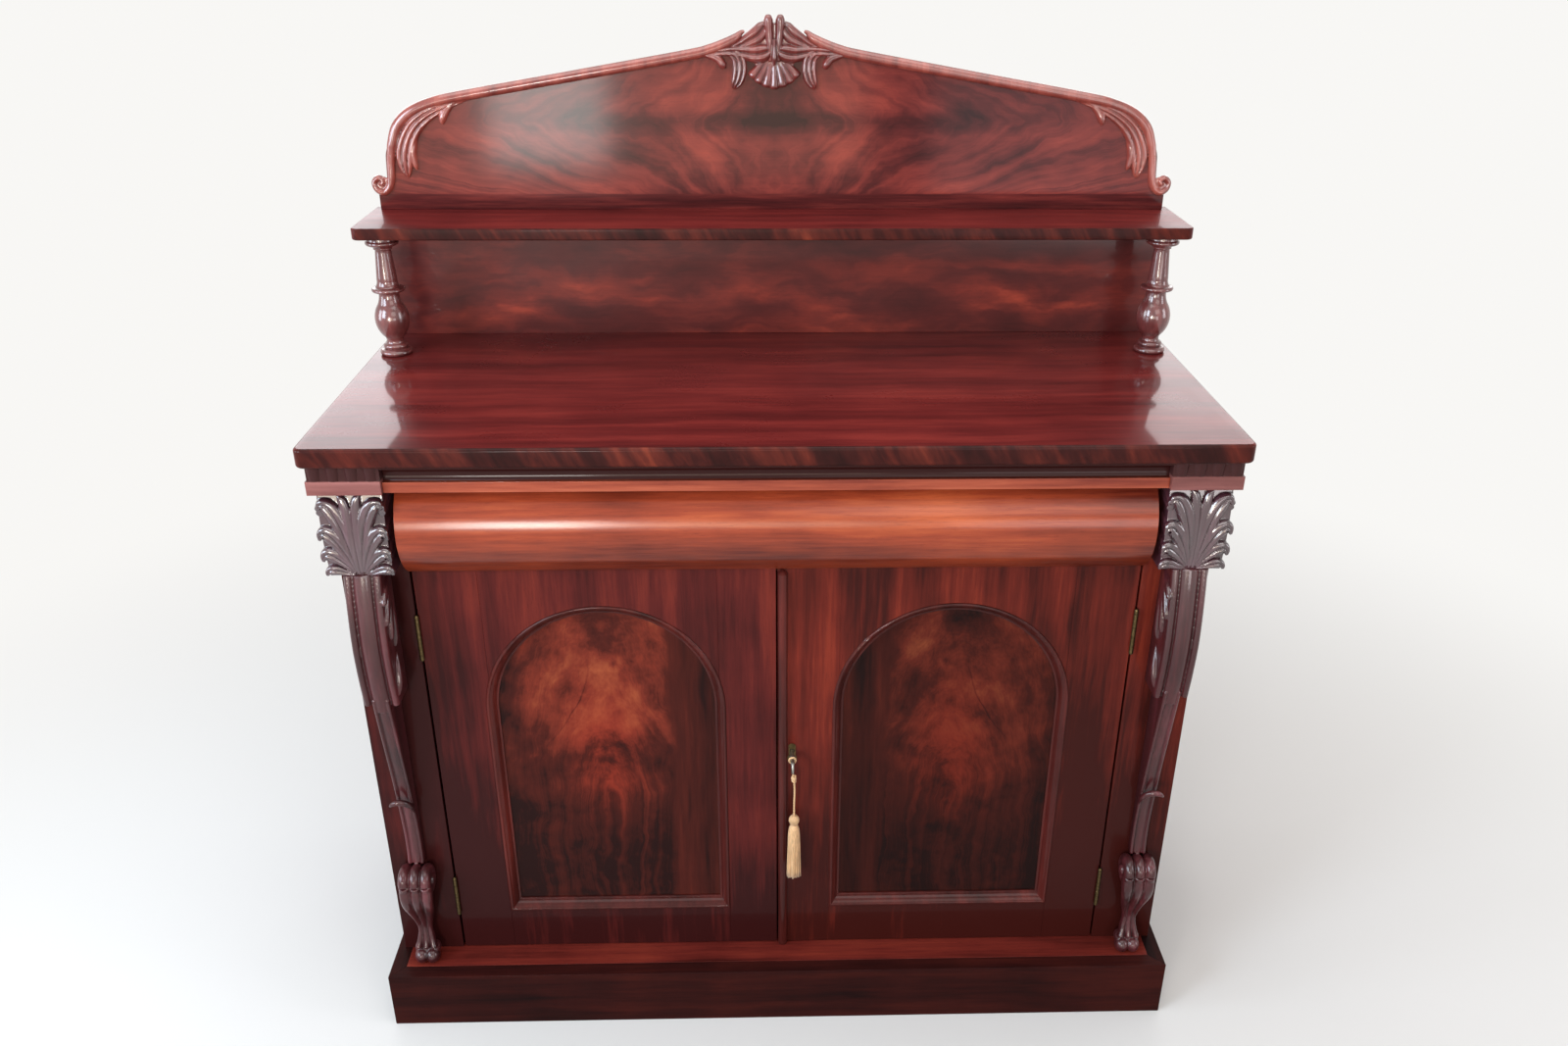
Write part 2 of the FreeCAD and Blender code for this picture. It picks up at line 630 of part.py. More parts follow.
def pediment():
    """Panel above the shelf, with a half-round rail that runs down to a scroll at each end."""
    edges = pediment_line()
    path = Part.Wire(edges)
    top, end = (path.OrderedVertexes[i].Point for i in (0, -1))
    side = WIDTH / 2 - SCROLL_IN
    corners = [end, FreeCAD.Vector(side, 0, end.z), FreeCAD.Vector(side, 0, SHELF_Z1),
               FreeCAD.Vector(0, 0, SHELF_Z1), top]
    closing = [Part.LineSegment(a, b).toShape() for a, b in zip(corners, corners[1:])]
    half = Part.Face(Part.Wire(edges + closing))
    grown = half.makeOffset2D(RAIL_RADIUS - 2)
    slab = push(grown, y=-GALLERY_THICK)
    slab.translate(FreeCAD.Vector(0, BACK, 0))
    slab = slab.common(box(0, WIDTH / 2 - 6, GALLERY_FACE, BACK, SHELF_Z1, 2 * BOARD_Z1))
    save("pediment_panel", fused([slab, mirrored(slab)]))

    run = Part.Wire(edges[:-1])
    run.translate(FreeCAD.Vector(0, GALLERY_FACE, 0))
    high, low = (v.Point for v in edges[-1].Vertexes)
    narrow = Part.makeCone(RAIL_RADIUS, SCROLL_TUBE, edges[-1].Length,
                           high + Y_AXIS * GALLERY_FACE, low - high)
    pieces = [tube(RAIL_RADIUS, run), narrow] + scroll(end.x, end.z) + shoulder_leaves() + rail_tip()
    front_half = box(CREST_HALF, WIDTH / 2, GALLERY_FACE - 30, GALLERY_FACE, SHELF_Z1, 2 * BOARD_Z1)
    rail = fused(pieces).common(front_half)
    save_pair("pediment_rail", rail)
    return rail


def scroll(x, z):
    """Round bar that curls forward of the panel from its left side, under and inwards, about an eye."""
    y = GALLERY_FACE
    outer = SCROLL_RADIUS - 1
    inner = outer - SCROLL_TUBE

    def turn(centre_x, centre_z, radius, quarter):
        places = []
        for share in (0, 0.5, 1):
            angle = math.pi + (quarter + share) * math.pi / 2
            aside, up = radius * math.cos(angle), radius * math.sin(angle)
            places.append(FreeCAD.Vector(centre_x + aside, y, centre_z + up))
        return Part.Arc(*places).toShape()

    under = [turn(x + outer, z, outer, 0), turn(x + outer, z, outer, 1)]
    over = [turn(x + 2 * outer - inner, z, inner, 2)]
    disc = rod(outer, (x + outer, y, z), (x + outer, y - 3, z))
    eye = ball(SCROLL_TUBE, x + outer + 1, y - 2, z)
    return [tube(SCROLL_TUBE, Part.Wire(under)), tube(SCROLL_TUBE, Part.Wire(over)), disc, eye]


def shoulder_leaves():
    """Fluted leaf inside the rail where it turns down to the scroll, with a curled tip above it."""
    x = WIDTH / 2 - SCROLL_IN
    z = SHELF_Z1 + END_RISE
    y = GALLERY_FACE

    def at(sideways, up, sunk=0.0):
        return x - sideways, y + sunk, z + up

    flutes = [reed(4.6, at(112, 102, 2), at(61, 70), at(48, 20)),
              reed(5.2, at(112, 113, 3), at(54, 80), at(39, 18)),
              reed(4.6, at(106, 116, 3), at(49, 88), at(31, 28))]
    return flutes + [reed(5.0, at(114, 112, 2), at(103, 100), at(98, 88))]


def rail_tip():
    """The rail's upper end turns up beside the crest."""
    z = SHELF_Z1 + CREST_RISE
    return [horn(RAIL_RADIUS - 1, 3.0, (70, GALLERY_FACE, z - 39), (CREST_HALF + 3, GALLERY_FACE, z - 24))]


def crest(rail):
    """Twin-lobed crest: sprays of reeded leaves over a shell, with a drop at each side."""
    z = SHELF_Z1 + CREST_RISE
    y = GALLERY_FACE
    proud = CREST_THICK - GALLERY_THICK
    ground = 5.0
    wide = CREST_HALF

    def at(sideways, down, forward=0.0):
        return sideways, y - forward, z - down

    half = outline(in_xz(y), (0, z - SHELL_REACH - 34), (0, z - 8), (14, z - 8),
                   ((20, z - 19), (31, z - 26)), (wide, z - 32), (wide, z - 56), (30, z - SHELL_REACH - 30))
    pieces = [push(half, y=-ground), push(half, y=GALLERY_THICK)]
    lobe_x = 8.5
    lobe_radius = 7.0
    pieces.append(horn(5.0, lobe_radius, at(lobe_x - 3, 58, 3), at(lobe_x, lobe_radius, 3)))
    pieces.append(horn(4.5, lobe_radius - 1, at(lobe_x, 26, -14), at(lobe_x, lobe_radius, -9)))
    for rise in (0, 11):
        pieces.append(reed(5.5, at(52, 43 - rise / 4, 1), at(34, 39 - rise, 2), at(15, 26 - rise, 3)))
    for fall in (0, 9):
        pieces.append(reed(5.5, at(60, 47, 1), at(34, 46 + fall, 3), at(10, 43 + fall, 4)))
    for aside in (0, 8):
        pieces.append(reed(5.0, at(42 + aside, 54, 1), at(43 + aside, 72, 3), at(50 + aside, 92, 2)))
    pieces.append(horn(3.0, 5.0, at(88, 54), at(72, 66, 1)))
    hub = SHELL_REACH - 11
    spread = math.radians(13.5)
    for i in range((SHELL_RIBS + 1) // 2):
        reach = SHELL_REACH * 0.88
        tip = at(reach * math.sin(i * spread), hub + reach * math.cos(i * spread), 2)
        pieces.append(horn(3.0, 6.6, at(0, hub, 2), tip))
    pieces.append(horn(2.5, 4.0, at(0, 32, 4), at(0, 58, proud - 4.5)))
    right = fused(pieces).common(box(0, WIDTH, y - proud, BACK, SHELF_Z1, z))
    panel_top = SHELF_Z1 + CENTRE_RISE + RAIL_RADIUS + 8
    right = right.cut([box(-1, WIDTH, y, BACK, SHELF_Z1, panel_top),
                       box(wide, WIDTH, y - proud, BACK, z - 50, z + 1), rail])
    save("crest_carving", fused([right, mirrored(right)]))


def gallery():
    save("gallery_back", box(-WIDTH / 2 + 6, WIDTH / 2 - 6, GALLERY_FACE, BACK, BOARD_Z1, SHELF_Z0))
    gallery_shelf()
    column()
    crest(pediment())


# ---------------------------------------------------------------- doors

def arch(centre, grow, place):
    """Arched outline round a door's opening, larger by 'grow' on every side."""
    half = ARCH_WIDTH / 2 + grow
    foot = DOOR_Z0 + BOTTOM_RAIL - grow
    spring = DOOR_Z0 + SPRING_HEIGHT
    return outline(place, (centre - half, foot), (centre + half, foot), (centre + half, spring),
                   ((centre, spring + half), (centre - half, spring)))


def door(side, x_hinge, x_meet, cuts):
    """One door's frame, moulding and panel; x_hinge and x_meet are its two edges."""
    sign = 1 if x_hinge > 0 else -1
    centre = sign * ARCH_CENTRE
    x0, x1 = min(x_hinge, x_meet), max(x_hinge, x_meet)
    plate = box(x0, x1, FRONT, DOOR_BACK, DOOR_Z0, DOOR_Z1)
    plate = plate.cut(push(arch(centre, 0, in_xz(FRONT)), y=DOOR_THICK))
    seat = push(arch(centre, PANEL_LAP + FIT, in_xz(FRONT + PANEL_DEPTH)), y=DOOR_THICK)
    plate = plate.cut([seat] + cuts)
    low = centre - ARCH_WIDTH / 2
    high = centre + ARCH_WIDTH / 2
    foot = DOOR_Z0 + BOTTOM_RAIL
    spring = DOOR_Z0 + SPRING_HEIGHT
    head_zone = box(low + HORN, high - HORN, FRONT, DOOR_BACK, spring, DOOR_Z1)
    foot_zone = box(low, high, FRONT, DOOR_BACK, DOOR_Z0, foot)
    head = plate.common(head_zone)
    bottom = plate.common(foot_zone)
    stiles = plate.cut([head_zone, foot_zone])
    save("door_stiles_" + side, *stiles.Solids)
    save("door_rails_" + side, *(head.Solids + bottom.Solids))

    panel_y = FRONT + PANEL_DEPTH
    save("door_panel_" + side, push(arch(centre, PANEL_LAP, in_xz(panel_y)), y=PANEL_THICK))
    save("door_moulding_" + side, arch_moulding(centre))


def arch_moulding(centre):
    """Moulding inside the opening: a proud bead, then a hollow down to the panel."""
    half = ARCH_WIDTH / 2
    foot = DOOR_Z0 + BOTTOM_RAIL
    spring = DOOR_Z0 + SPRING_HEIGHT
    proud = FRONT - MOULD_PROUD
    floor = FRONT + PANEL_DEPTH
    inner = MOULD_WIDTH

    def section(place):
        bead = ((1.6, proud - 0.2), (4.2, proud + 0.8))
        hollow = ((inner - 5.5, floor - 8.0), (inner - 2.5, floor - 2.5))
        return outline(place, (0, floor), (0, proud + 1.5), bead, hollow, (inner, floor - 2), (inner, floor))

    def run_right(z):
        return lambda a, y: FreeCAD.Vector(centre + half - a, y, z)

    side = push(section(run_right(foot)), z=spring - foot)
    bend = section(run_right(spring)).revolve(FreeCAD.Vector(centre, FRONT, spring), Y_AXIS, -180)
    bottom = push(section(lambda a, y: FreeCAD.Vector(centre - half, y, foot + a)), x=2 * half)
    reach = spring - foot + half
    mitre = outline(in_xz(proud - 1), (centre + half, foot), (centre + half, foot + reach),
                    (centre + half - reach, foot + reach))
    upper = push(mitre, y=PANEL_DEPTH + 2 * MOULD_PROUD + 2)
    right = side.common(upper)
    left = right.mirror(FreeCAD.Vector(centre, 0, 0), X_AXIS)
    lower_cut = upper.mirror(FreeCAD.Vector(centre, 0, 0), X_AXIS)
    bottom = bottom.cut([upper, lower_cut])
    return fused([right, left, bend, bottom])


def keyhole(y0, y1):
    """Round hole with a slot below it, through whatever lies between two depths."""
    hole = rod(SHANK_RADIUS + 0.6, (KEY_X, y0, KEY_Z), (KEY_X, y1, KEY_Z))
    slot = box(KEY_X - 2.2, KEY_X + 2.2, y0, y1, KEY_Z - BIT_LENGTH - 1, KEY_Z)
    return hole.fuse(slot)


def doors():
    door("right", DOOR_EDGE, MEETING_X + GAP / 2, [keyhole(FRONT - 1, DOOR_BACK + 1)])
    door("left", -DOOR_EDGE, MEETING_X - GAP / 2, [])
    x0 = MEETING_X + GAP / 2
    x1 = x0 + BEAD_WIDTH
    face = outline(in_xy(DOOR_Z0), (x0, FRONT), (x0, FRONT - 2),
                   (((x0 + x1) / 2, FRONT - BEAD_PROUD), (x1, FRONT - 2)), (x1, FRONT))
    bead = push(face, z=DOOR_HEIGHT)
    tip_z = DOOR_Z1 - BEAD_WIDTH
    tip = Part.makeCone(BEAD_WIDTH, 0.01, BEAD_WIDTH, FreeCAD.Vector((x0 + x1) / 2, FRONT, tip_z))
    lower = box(x0, x1, FRONT - BEAD_PROUD, FRONT, DOOR_Z0, tip_z)
    save("meeting_bead", bead.common(tip.fuse(lower)).removeSplitter())


# ---------------------------------------------------------------- hinges

def hinge_levels():
    return [DOOR_Z0 + HINGE_END, DOOR_Z1 - HINGE_END - HINGE_LENGTH]


def knuckle_spans(z, first):
    """Every other knuckle of a hinge, from the given one."""
    pitch = HINGE_LENGTH / KNUCKLES
    spans = []
    for i in range(first, KNUCKLES, 2):
        below = FIT / 2 if i else 0
        above = FIT / 2 if i < KNUCKLES - 1 else 0
        spans.append((z + i * pitch + below, z + (i + 1) * pitch - above))
    return spans


def hinge_leaf(z, x0, x1, first):
    """A leaf with its knuckles round the pin."""
    clear = HINGE_Y + KNUCKLE_RADIUS + 2 * FIT
    leaf_plate = box(x0, x1, clear, HINGE_Y + LEAF_DEPTH, z, z + HINGE_LENGTH)
    parts = [leaf_plate]
    for z0, z1 in knuckle_spans(z, first):
        parts.append(rod(KNUCKLE_RADIUS, (HINGE_X, HINGE_Y, z0), (HINGE_X, HINGE_Y, z1)))
        parts.append(box(x0, x1, HINGE_Y, clear, z0, z1))
    bore = rod(PIN_RADIUS, (HINGE_X, HINGE_Y, z - 1), (HINGE_X, HINGE_Y, z + HINGE_LENGTH + 1))
    return fused(parts).cut(bore)


def hinges():
    case_leaves = []
    door_leaves = []
    pins = []
    for z in hinge_levels():
        case_leaves.append(hinge_leaf(z, STILE_IN - LEAF_THICK, STILE_IN, 0))
        door_leaves.append(hinge_leaf(z, DOOR_EDGE, DOOR_EDGE + LEAF_THICK, 1))
        shaft = rod(PIN_RADIUS - PIN_CLEAR, (HINGE_X, HINGE_Y, z), (HINGE_X, HINGE_Y, z + HINGE_LENGTH))
        tips = [ball(KNUCKLE_RADIUS, HINGE_X, HINGE_Y, end).common(
            box(0, WIDTH, -DEPTH, DEPTH, *zs)) for end, zs in
            ((z, (0, z)), (z + HINGE_LENGTH, (z + HINGE_LENGTH, 2 * BOARD_Z1)))]
        pins.append(fused([shaft] + tips))
    save("hinge_case_leaves", *(case_leaves + [mirrored(s) for s in case_leaves]))
    save("hinge_leaves_right", *door_leaves)
    save("hinge_leaves_left", *[mirrored(s) for s in door_leaves])
    save("hinge_pins", *(pins + [mirrored(s) for s in pins]))


# ---------------------------------------------------------------- lock, key and bolts

def lock():
    x0 = MEETING_X + GAP / 2 + FIT
    z0 = KEY_Z - LOCK_HEIGHT / 2
    z1 = KEY_Z + LOCK_HEIGHT / 2
    y1 = DOOR_BACK + LOCK_DEPTH
    case = box(x0, x0 + LOCK_WIDTH, DOOR_BACK, y1, z0, z1)
    hollow = box(x0 + LOCK_WALL, x0 + LOCK_WIDTH - LOCK_WALL, DOOR_BACK + LOCK_WALL, y1 - LOCK_WALL,
                 z0 + LOCK_WALL, z1 - LOCK_WALL)
    bolt_z = KEY_Z + BIT_LENGTH + SHANK_RADIUS
    bolt_y = DOOR_BACK + LOCK_WALL + FIT
    slot = box(x0 - 1, x0 + 2 * LOCK_WALL, bolt_y - FIT, bolt_y + BOLT_THICK + FIT,
               bolt_z - FIT, bolt_z + BOLT_HEIGHT + FIT)
    save("lock_case", case.cut([hollow, slot, keyhole(DOOR_BACK - 1, DOOR_BACK + 3)]))
    save("lock_bolt", box(x0, x0 + BOLT_LENGTH, bolt_y, bolt_y + BOLT_THICK, bolt_z, bolt_z + BOLT_HEIGHT))
    plate_x1 = MEETING_X - GAP / 2
    save("strike_plate", box(plate_x1 - 16, plate_x1 - 0.5, DOOR_BACK, DOOR_BACK + LOCK_WALL - 0.1,
                             bolt_z - 12, bolt_z + BOLT_HEIGHT + 12))
    half = SHANK_RADIUS + 2.4
    low, high = KEY_Z - 8, KEY_Z + 5
    plate = outline(in_xz(FRONT), (KEY_X - half, low), ((KEY_X, low - 11), (KEY_X + half, low)),
                    (KEY_X + half, high), ((KEY_X, high + 7), (KEY_X - half, high)))
    save("escutcheon", push(plate, y=-1.2).cut(keyhole(FRONT - 2, FRONT + 1)))


def key():
    """Shank with a collar, an oval bow in front and a bit inside the lock."""
    shank_end = DOOR_BACK + LOCK_DEPTH - LOCK_WALL - 1
    bow_y = FRONT - KEY_OUT + BOW_RADIUS
    shank = rod(SHANK_RADIUS, (KEY_X, bow_y + BOW_RADIUS - 3, KEY_Z), (KEY_X, shank_end, KEY_Z))
    bow_centre = FreeCAD.Vector(KEY_X, bow_y, KEY_Z)
    bow = Part.makeTorus(BOW_RADIUS - BOW_THICK / 2, BOW_THICK / 2, bow_centre, X_AXIS)
    neck = FRONT - KEY_COLLAR
    collar = rod(SHANK_RADIUS + 1.6, (KEY_X, neck + 5, KEY_Z), (KEY_X, neck + 8, KEY_Z))
    bit = box(KEY_X - 1.4, KEY_X + 1.4, DOOR_BACK + LOCK_WALL + 1, DOOR_BACK + LOCK_WALL + 7,
              KEY_Z - BIT_LENGTH, KEY_Z)
    save("key", fused([shank, bow, collar, bit]))


def tassel_route():
    """Points that the tassel's cord follows, from the loop on the key down through the head."""
    y = FRONT - KEY_COLLAR
    down = SHANK_RADIUS + FIT + 2 * CORD_RADIUS
    return ((KEY_X, y, KEY_Z - down - 1.0), (KEY_X + 0.5, y, KEY_Z - 22), (KEY_X + 2.6, y, KEY_Z - 38),
            (KEY_X + 3.2, y, KEY_Z - 56), (KEY_X + 2.4, y, KEY_Z - 75), (HEAD_X, y, KEY_Z - HEAD_TOP),
            (KEY_X + 2.2, y, KEY_Z - HEAD_TOP - 18), (KEY_X + 2.7, y, KEY_Z - HEAD_TOP - 35),
            (KEY_X + 2.4, y, KEY_Z - HEAD_TOP - 50))


def cord_tube(points):
    """Straight runs with tangent arcs as large as their runs allow, swept with a round section."""
    vectors = [FreeCAD.Vector(*p) for p in points]
    edges = []
    here = vectors[0]
    for before, corner, after in zip(vectors, vectors[1:], vectors[2:]):
        back = before - corner
        on = after - corner
        cut = 0.45 * min(back.Length, on.Length)
        turn = math.pi - back.getAngle(on)
        radius = cut / math.tan(turn / 2)
        print("tassel cord radius", round(radius, 1))
        back.normalize()
        on.normalize()
        start = corner + back * cut
        end = corner + on * cut
        middle = (back + on).normalize()
        through = corner + middle * (radius / math.cos(turn / 2) - radius)
        edges.append(Part.LineSegment(here, start).toShape())
        edges.append(Part.Arc(start, through, end).toShape())
        here = end
    edges.append(Part.LineSegment(here, vectors[-1]).toShape())
    path = Part.Wire(edges)
    length = path.Length
    ring = Part.Wire([Part.Circle(vectors[0], vectors[1] - vectors[0], CORD_RADIUS).toShape()])
    cord = path.makePipeShell([ring], True, True)
    print("tassel cord length", round(length, 1), "volume ratio",
          round(cord.Volume / (math.pi * CORD_RADIUS ** 2 * length), 4))
    return cord


def tassel():
    y = FRONT - KEY_COLLAR
    points = tassel_route()
    cord = cord_tube(points)
    save("tassel_cord", cord)
    wound = SHANK_RADIUS + FIT + CORD_RADIUS
    ring = Part.makeTorus(wound, CORD_RADIUS, FreeCAD.Vector(KEY_X, y, KEY_Z), Y_AXIS)
    stub = rod(CORD_RADIUS, (KEY_X, y, KEY_Z - wound), points[0])
    save("tassel_loop", fused([ring, stub]).cut(cord))
    x = HEAD_X
    top = KEY_Z - HEAD_TOP
    neck = top - 17
    head = outline(in_xz(y), (x, top), (x + 2.4, top),
                   ((x + HEAD_RADIUS, top - 8), (x + 5.4, neck)), (x, neck))
    skirt = outline(in_xz(y), (x, neck), (x + 5.4, neck), ((x + 9.0, neck - 8), (x + 9.4, neck - 20)),
                    (x + SKIRT_RADIUS, neck - SKIRT_LENGTH), (x, neck - SKIRT_LENGTH))
    save("tassel_head", fused([turned(head, (x, y, 0)), turned(skirt, (x, y, 0))]).cut(cord))


def slide_bolt():
    """Brass bolt on the back of the left door that slides up behind a keep under the rail."""
    x = MEETING_X - GAP / 2 - SLIDE_X
    y = DOOR_BACK + SLIDE_PLATE + SLIDE_RADIUS + FIT
    rail_z = RAIL_TOP - RAIL_THICK
    top = rail_z - SLIDE_THROW - 3.5
    foot = top - SLIDE_LENGTH
    plate = box(x - 12, x + 12, DOOR_BACK, DOOR_BACK + SLIDE_PLATE, foot - 4, top - 6)
    parts = [plate]
    for z in (foot + 4, top - 18):
        lug = box(x - 7, x + 7, DOOR_BACK, y + SLIDE_RADIUS + 2, z, z + 8)
        parts.append(lug)
    guide = fused(parts).cut(rod(SLIDE_RADIUS + FIT, (x, y, foot - 9), (x, y, top + 9)))
    save("slide_bolt_plate", guide)
    knob_z = (foot + top) / 2 - 7
    knob_y = y + SLIDE_RADIUS + 10
    knob = [rod(3.0, (x, y, knob_z), (x, knob_y, knob_z)), ball(4.5, x, knob_y, knob_z)]
    save("slide_bolt_rod", fused([rod(SLIDE_RADIUS, (x, y, foot), (x, y, top))] + knob))
    save("slide_bolt_keep", box(x - 10, x + 10, RAIL_FRONT, y - SLIDE_RADIUS - FIT, rail_z - 15, rail_z))


# ---------------------------------------------------------------- drawer

def drawer():
    half = STILE_IN - GAP
    z0, z1 = DRAWER_Z0, DRAWER_Z1
    rear = DRAWER_REAR
    edge = FRONT - DRAWER_LIP
    bulge = edge - DRAWER_BULGE
    face = outline(in_yz(-half), (rear, z0), (edge, z0), ((bulge, (z0 + z1) / 2), (edge, z1)), (rear, z1))
    front = push(face, x=2 * half)
    box_top = z1 - 8
    x1 = half - 2
    x0 = x1 - SIDE_BOARD
    y_end = CASE_BACK - BACK_THICK - DRAWER_SHORT
    side = box(x0, x1, rear, y_end, z0, box_top)
    pitch = (box_top - z0 - 14) / TAILS
    tails = []
    for i in range(TAILS):
        mid = z0 + 14 + (i + 0.5) * pitch
        narrow = pitch * 0.28
        wide = pitch * 0.4
        tail = outline(in_yz(x0), (rear, mid - narrow), (rear - DOVETAIL, mid - wide),
                       (rear - DOVETAIL, mid + wide), (rear, mid + narrow))
        tails.append(push(tail, x=SIDE_BOARD))
    side = fused([side] + tails)
    groove_z = z0 + 7
    floor_half = x0 + GROOVE
    floor = box(-floor_half, floor_half, rear - GROOVE, y_end - SIDE_BOARD,
                groove_z, groove_z + BOTTOM_BOARD)
    side = side.cut(floor)
    other = mirrored(side)
    save("drawer_front", front.cut([side, other, floor]))
    save("drawer_sides", side, other)
    save("drawer_bottom", floor)
    save("drawer_back", box(-x0, x0, y_end - SIDE_BOARD, y_end, groove_z, box_top - 6))


os.makedirs("parts", exist_ok=True)
plinth()
carcase()
frieze_rail()
top_board()
console_block()
capital()
console()
gallery()
doors()
hinges()
lock()
key()
tassel()
slide_bolt()
drawer()
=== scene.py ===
# The chiffonier's visible pieces, fitted over its solids, with a floor, lamps and a camera.
# Woods and the room are in metres, carving and the tassel in millimetres.
import json
import math
import random

import bmesh
import bpy
from mathutils import Matrix, Vector

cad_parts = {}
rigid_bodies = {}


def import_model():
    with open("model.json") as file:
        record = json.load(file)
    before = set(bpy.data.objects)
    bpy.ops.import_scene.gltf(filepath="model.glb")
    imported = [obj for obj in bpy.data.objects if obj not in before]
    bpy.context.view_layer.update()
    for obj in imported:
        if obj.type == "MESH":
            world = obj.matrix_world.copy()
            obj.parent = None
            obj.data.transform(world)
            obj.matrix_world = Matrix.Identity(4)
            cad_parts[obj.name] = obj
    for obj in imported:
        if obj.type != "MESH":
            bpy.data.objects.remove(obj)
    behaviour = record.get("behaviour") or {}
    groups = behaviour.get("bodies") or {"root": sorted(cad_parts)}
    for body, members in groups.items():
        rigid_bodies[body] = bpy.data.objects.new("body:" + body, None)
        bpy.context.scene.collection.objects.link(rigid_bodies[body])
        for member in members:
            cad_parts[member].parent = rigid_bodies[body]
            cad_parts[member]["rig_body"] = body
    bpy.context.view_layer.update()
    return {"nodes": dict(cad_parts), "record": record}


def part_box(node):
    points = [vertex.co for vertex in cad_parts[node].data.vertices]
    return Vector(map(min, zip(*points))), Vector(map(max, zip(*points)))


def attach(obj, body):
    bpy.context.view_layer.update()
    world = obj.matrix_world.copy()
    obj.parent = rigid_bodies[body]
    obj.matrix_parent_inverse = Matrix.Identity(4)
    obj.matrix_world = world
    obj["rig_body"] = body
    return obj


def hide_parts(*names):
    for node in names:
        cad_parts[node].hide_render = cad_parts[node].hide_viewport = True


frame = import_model()

MM = 0.001


def tint(red, green, blue):
    """A colour written in ordinary 0-255 values, as the shaders' linear one."""
    shares = (red / 255, green / 255, blue / 255)
    return tuple(((c + 0.055) / 1.055) ** 2.4 if c > 0.04 else c / 12.92 for c in shares)


def shaded(colour, share):
    return tuple(c * share for c in colour)


# ---------------------------------------------------------------- shader maths

class Value:
    """A node's output, with arithmetic that adds Math nodes."""

    def __init__(self, finish, socket):
        self.finish = finish
        self.socket = socket

    def math(self, operation, *terms):
        return self.finish.node("ShaderNodeMath", {"operation": operation}, dict(enumerate(terms)))

    def __add__(self, other):
        return self.math("ADD", self, other)

    __radd__ = __add__

    def __sub__(self, other):
        return self.math("SUBTRACT", self, other)

    def __rsub__(self, other):
        return self.math("SUBTRACT", other, self)

    def __mul__(self, other):
        return self.math("MULTIPLY", self, other)

    __rmul__ = __mul__

    def __truediv__(self, other):
        return self.math("DIVIDE", self, other)

    def __pow__(self, other):
        return self.math("POWER", self, other)

    def __abs__(self):
        return self.math("ABSOLUTE", self)

    def most(self, other):
        return self.math("MAXIMUM", self, other)

    def near(self, centre, reach):
        """1 at the centre, falling smoothly to 0 at the reach on either side."""
        return 1 - abs(self - centre).between(0.0, reach)

    def between(self, low, high):
        """0 at low and below, 1 at high and above, smooth in between."""
        return self.finish.node("ShaderNodeMapRange", {"interpolation_type": "SMOOTHSTEP"},
                                {"Value": self, "From Min": low, "From Max": high})


class Finish:
    """One material or world, built up node by node."""

    def __init__(self, name, world=False):
        self.owner = (bpy.data.worlds if world else bpy.data.materials).new(name)
        self.owner.use_nodes = True
        self.tree = self.owner.node_tree
        self.tree.nodes.clear()

    def node(self, kind, settings=None, inputs=None, output=0):
        """Add a node: its settings first, then the values or links of its sockets."""
        made = self.tree.nodes.new(kind)
        for key, setting in (settings or {}).items():
            if key == "stops":
                stops = made.color_ramp.elements
                while len(stops) < len(setting):
                    stops.new(0.5)
                for stop, (place, colour) in zip(stops, setting):
                    stop.position = place
                    stop.color = (*colour, 1)
            else:
                setattr(made, key, setting)
        for key, given in (inputs or {}).items():
            socket = made.inputs[key]
            if isinstance(given, Value):
                self.tree.links.new(given.socket, socket)
            elif socket.type == "RGBA" and len(given) == 3:
                socket.default_value = (*given, 1)
            else:
                socket.default_value = given
        return Value(self, made.outputs[output]) if made.outputs else None

    def place(self, scale=(1, 1, 1), shift=(0, 0, 0)):
        """Object coordinates in metres, moved by shift and then stretched by scale."""
        coords = self.node("ShaderNodeTexCoord", output="Object")
        moved = self.node("ShaderNodeVectorMath", {"operation": "ADD"}, {0: coords, 1: shift})
        return self.node("ShaderNodeVectorMath", {"operation": "MULTIPLY"}, {0: moved, 1: scale})

    def axes(self, shift=(0, 0, 0)):
        split = self.node("ShaderNodeSeparateXYZ", inputs={0: self.place(shift=shift)})
        return [Value(self, split.socket.node.outputs[i]) for i in range(3)]

    def join(self, x, y, z):
        return self.node("ShaderNodeCombineXYZ", inputs={0: x, 1: y, 2: z})

    def noise(self, vector, scale, detail, rough, distortion=0.0):
        return self.node("ShaderNodeTexNoise", inputs={"Vector": vector, "Scale": scale, "Detail": detail,
                                                       "Roughness": rough, "Distortion": distortion})

    def ramp(self, value, *stops):
        return self.node("ShaderNodeValToRGB", {"stops": stops}, {0: value})

    def mix(self, share, first, second):
        return self.node("ShaderNodeMix", {"data_type": "RGBA"}, {0: share, 6: first, 7: second}, 2)

    def bump(self, height, strength, distance):
        return self.node("ShaderNodeBump",
                         inputs={"Strength": strength, "Distance": distance, "Height": height})

    def shown(self):
        """1 for what the camera sees straight, in a gloss or through glass, 0 for what lights things."""
        straight = self.node("ShaderNodeLightPath", output="Is Camera Ray")
        mirrored = self.node("ShaderNodeLightPath", output="Is Glossy Ray")
        through_glass = self.node("ShaderNodeLightPath", output="Is Transmission Ray")
        return straight.most(mirrored).most(through_glass)

    def surface(self, sockets):
        shader = self.node("ShaderNodeBsdfPrincipled", inputs=sockets)
        self.node("ShaderNodeOutputMaterial", inputs={"Surface": shader})
        return self.owner


# ---------------------------------------------------------------- woods

ALONG = {"x": (0.05, 1, 1), "y": (1, 0.05, 1), "z": (1, 1, 0.05)}
DARK = tint(41, 14, 12)
RED = tint(98, 34, 28)
WARM = tint(126, 49, 36)


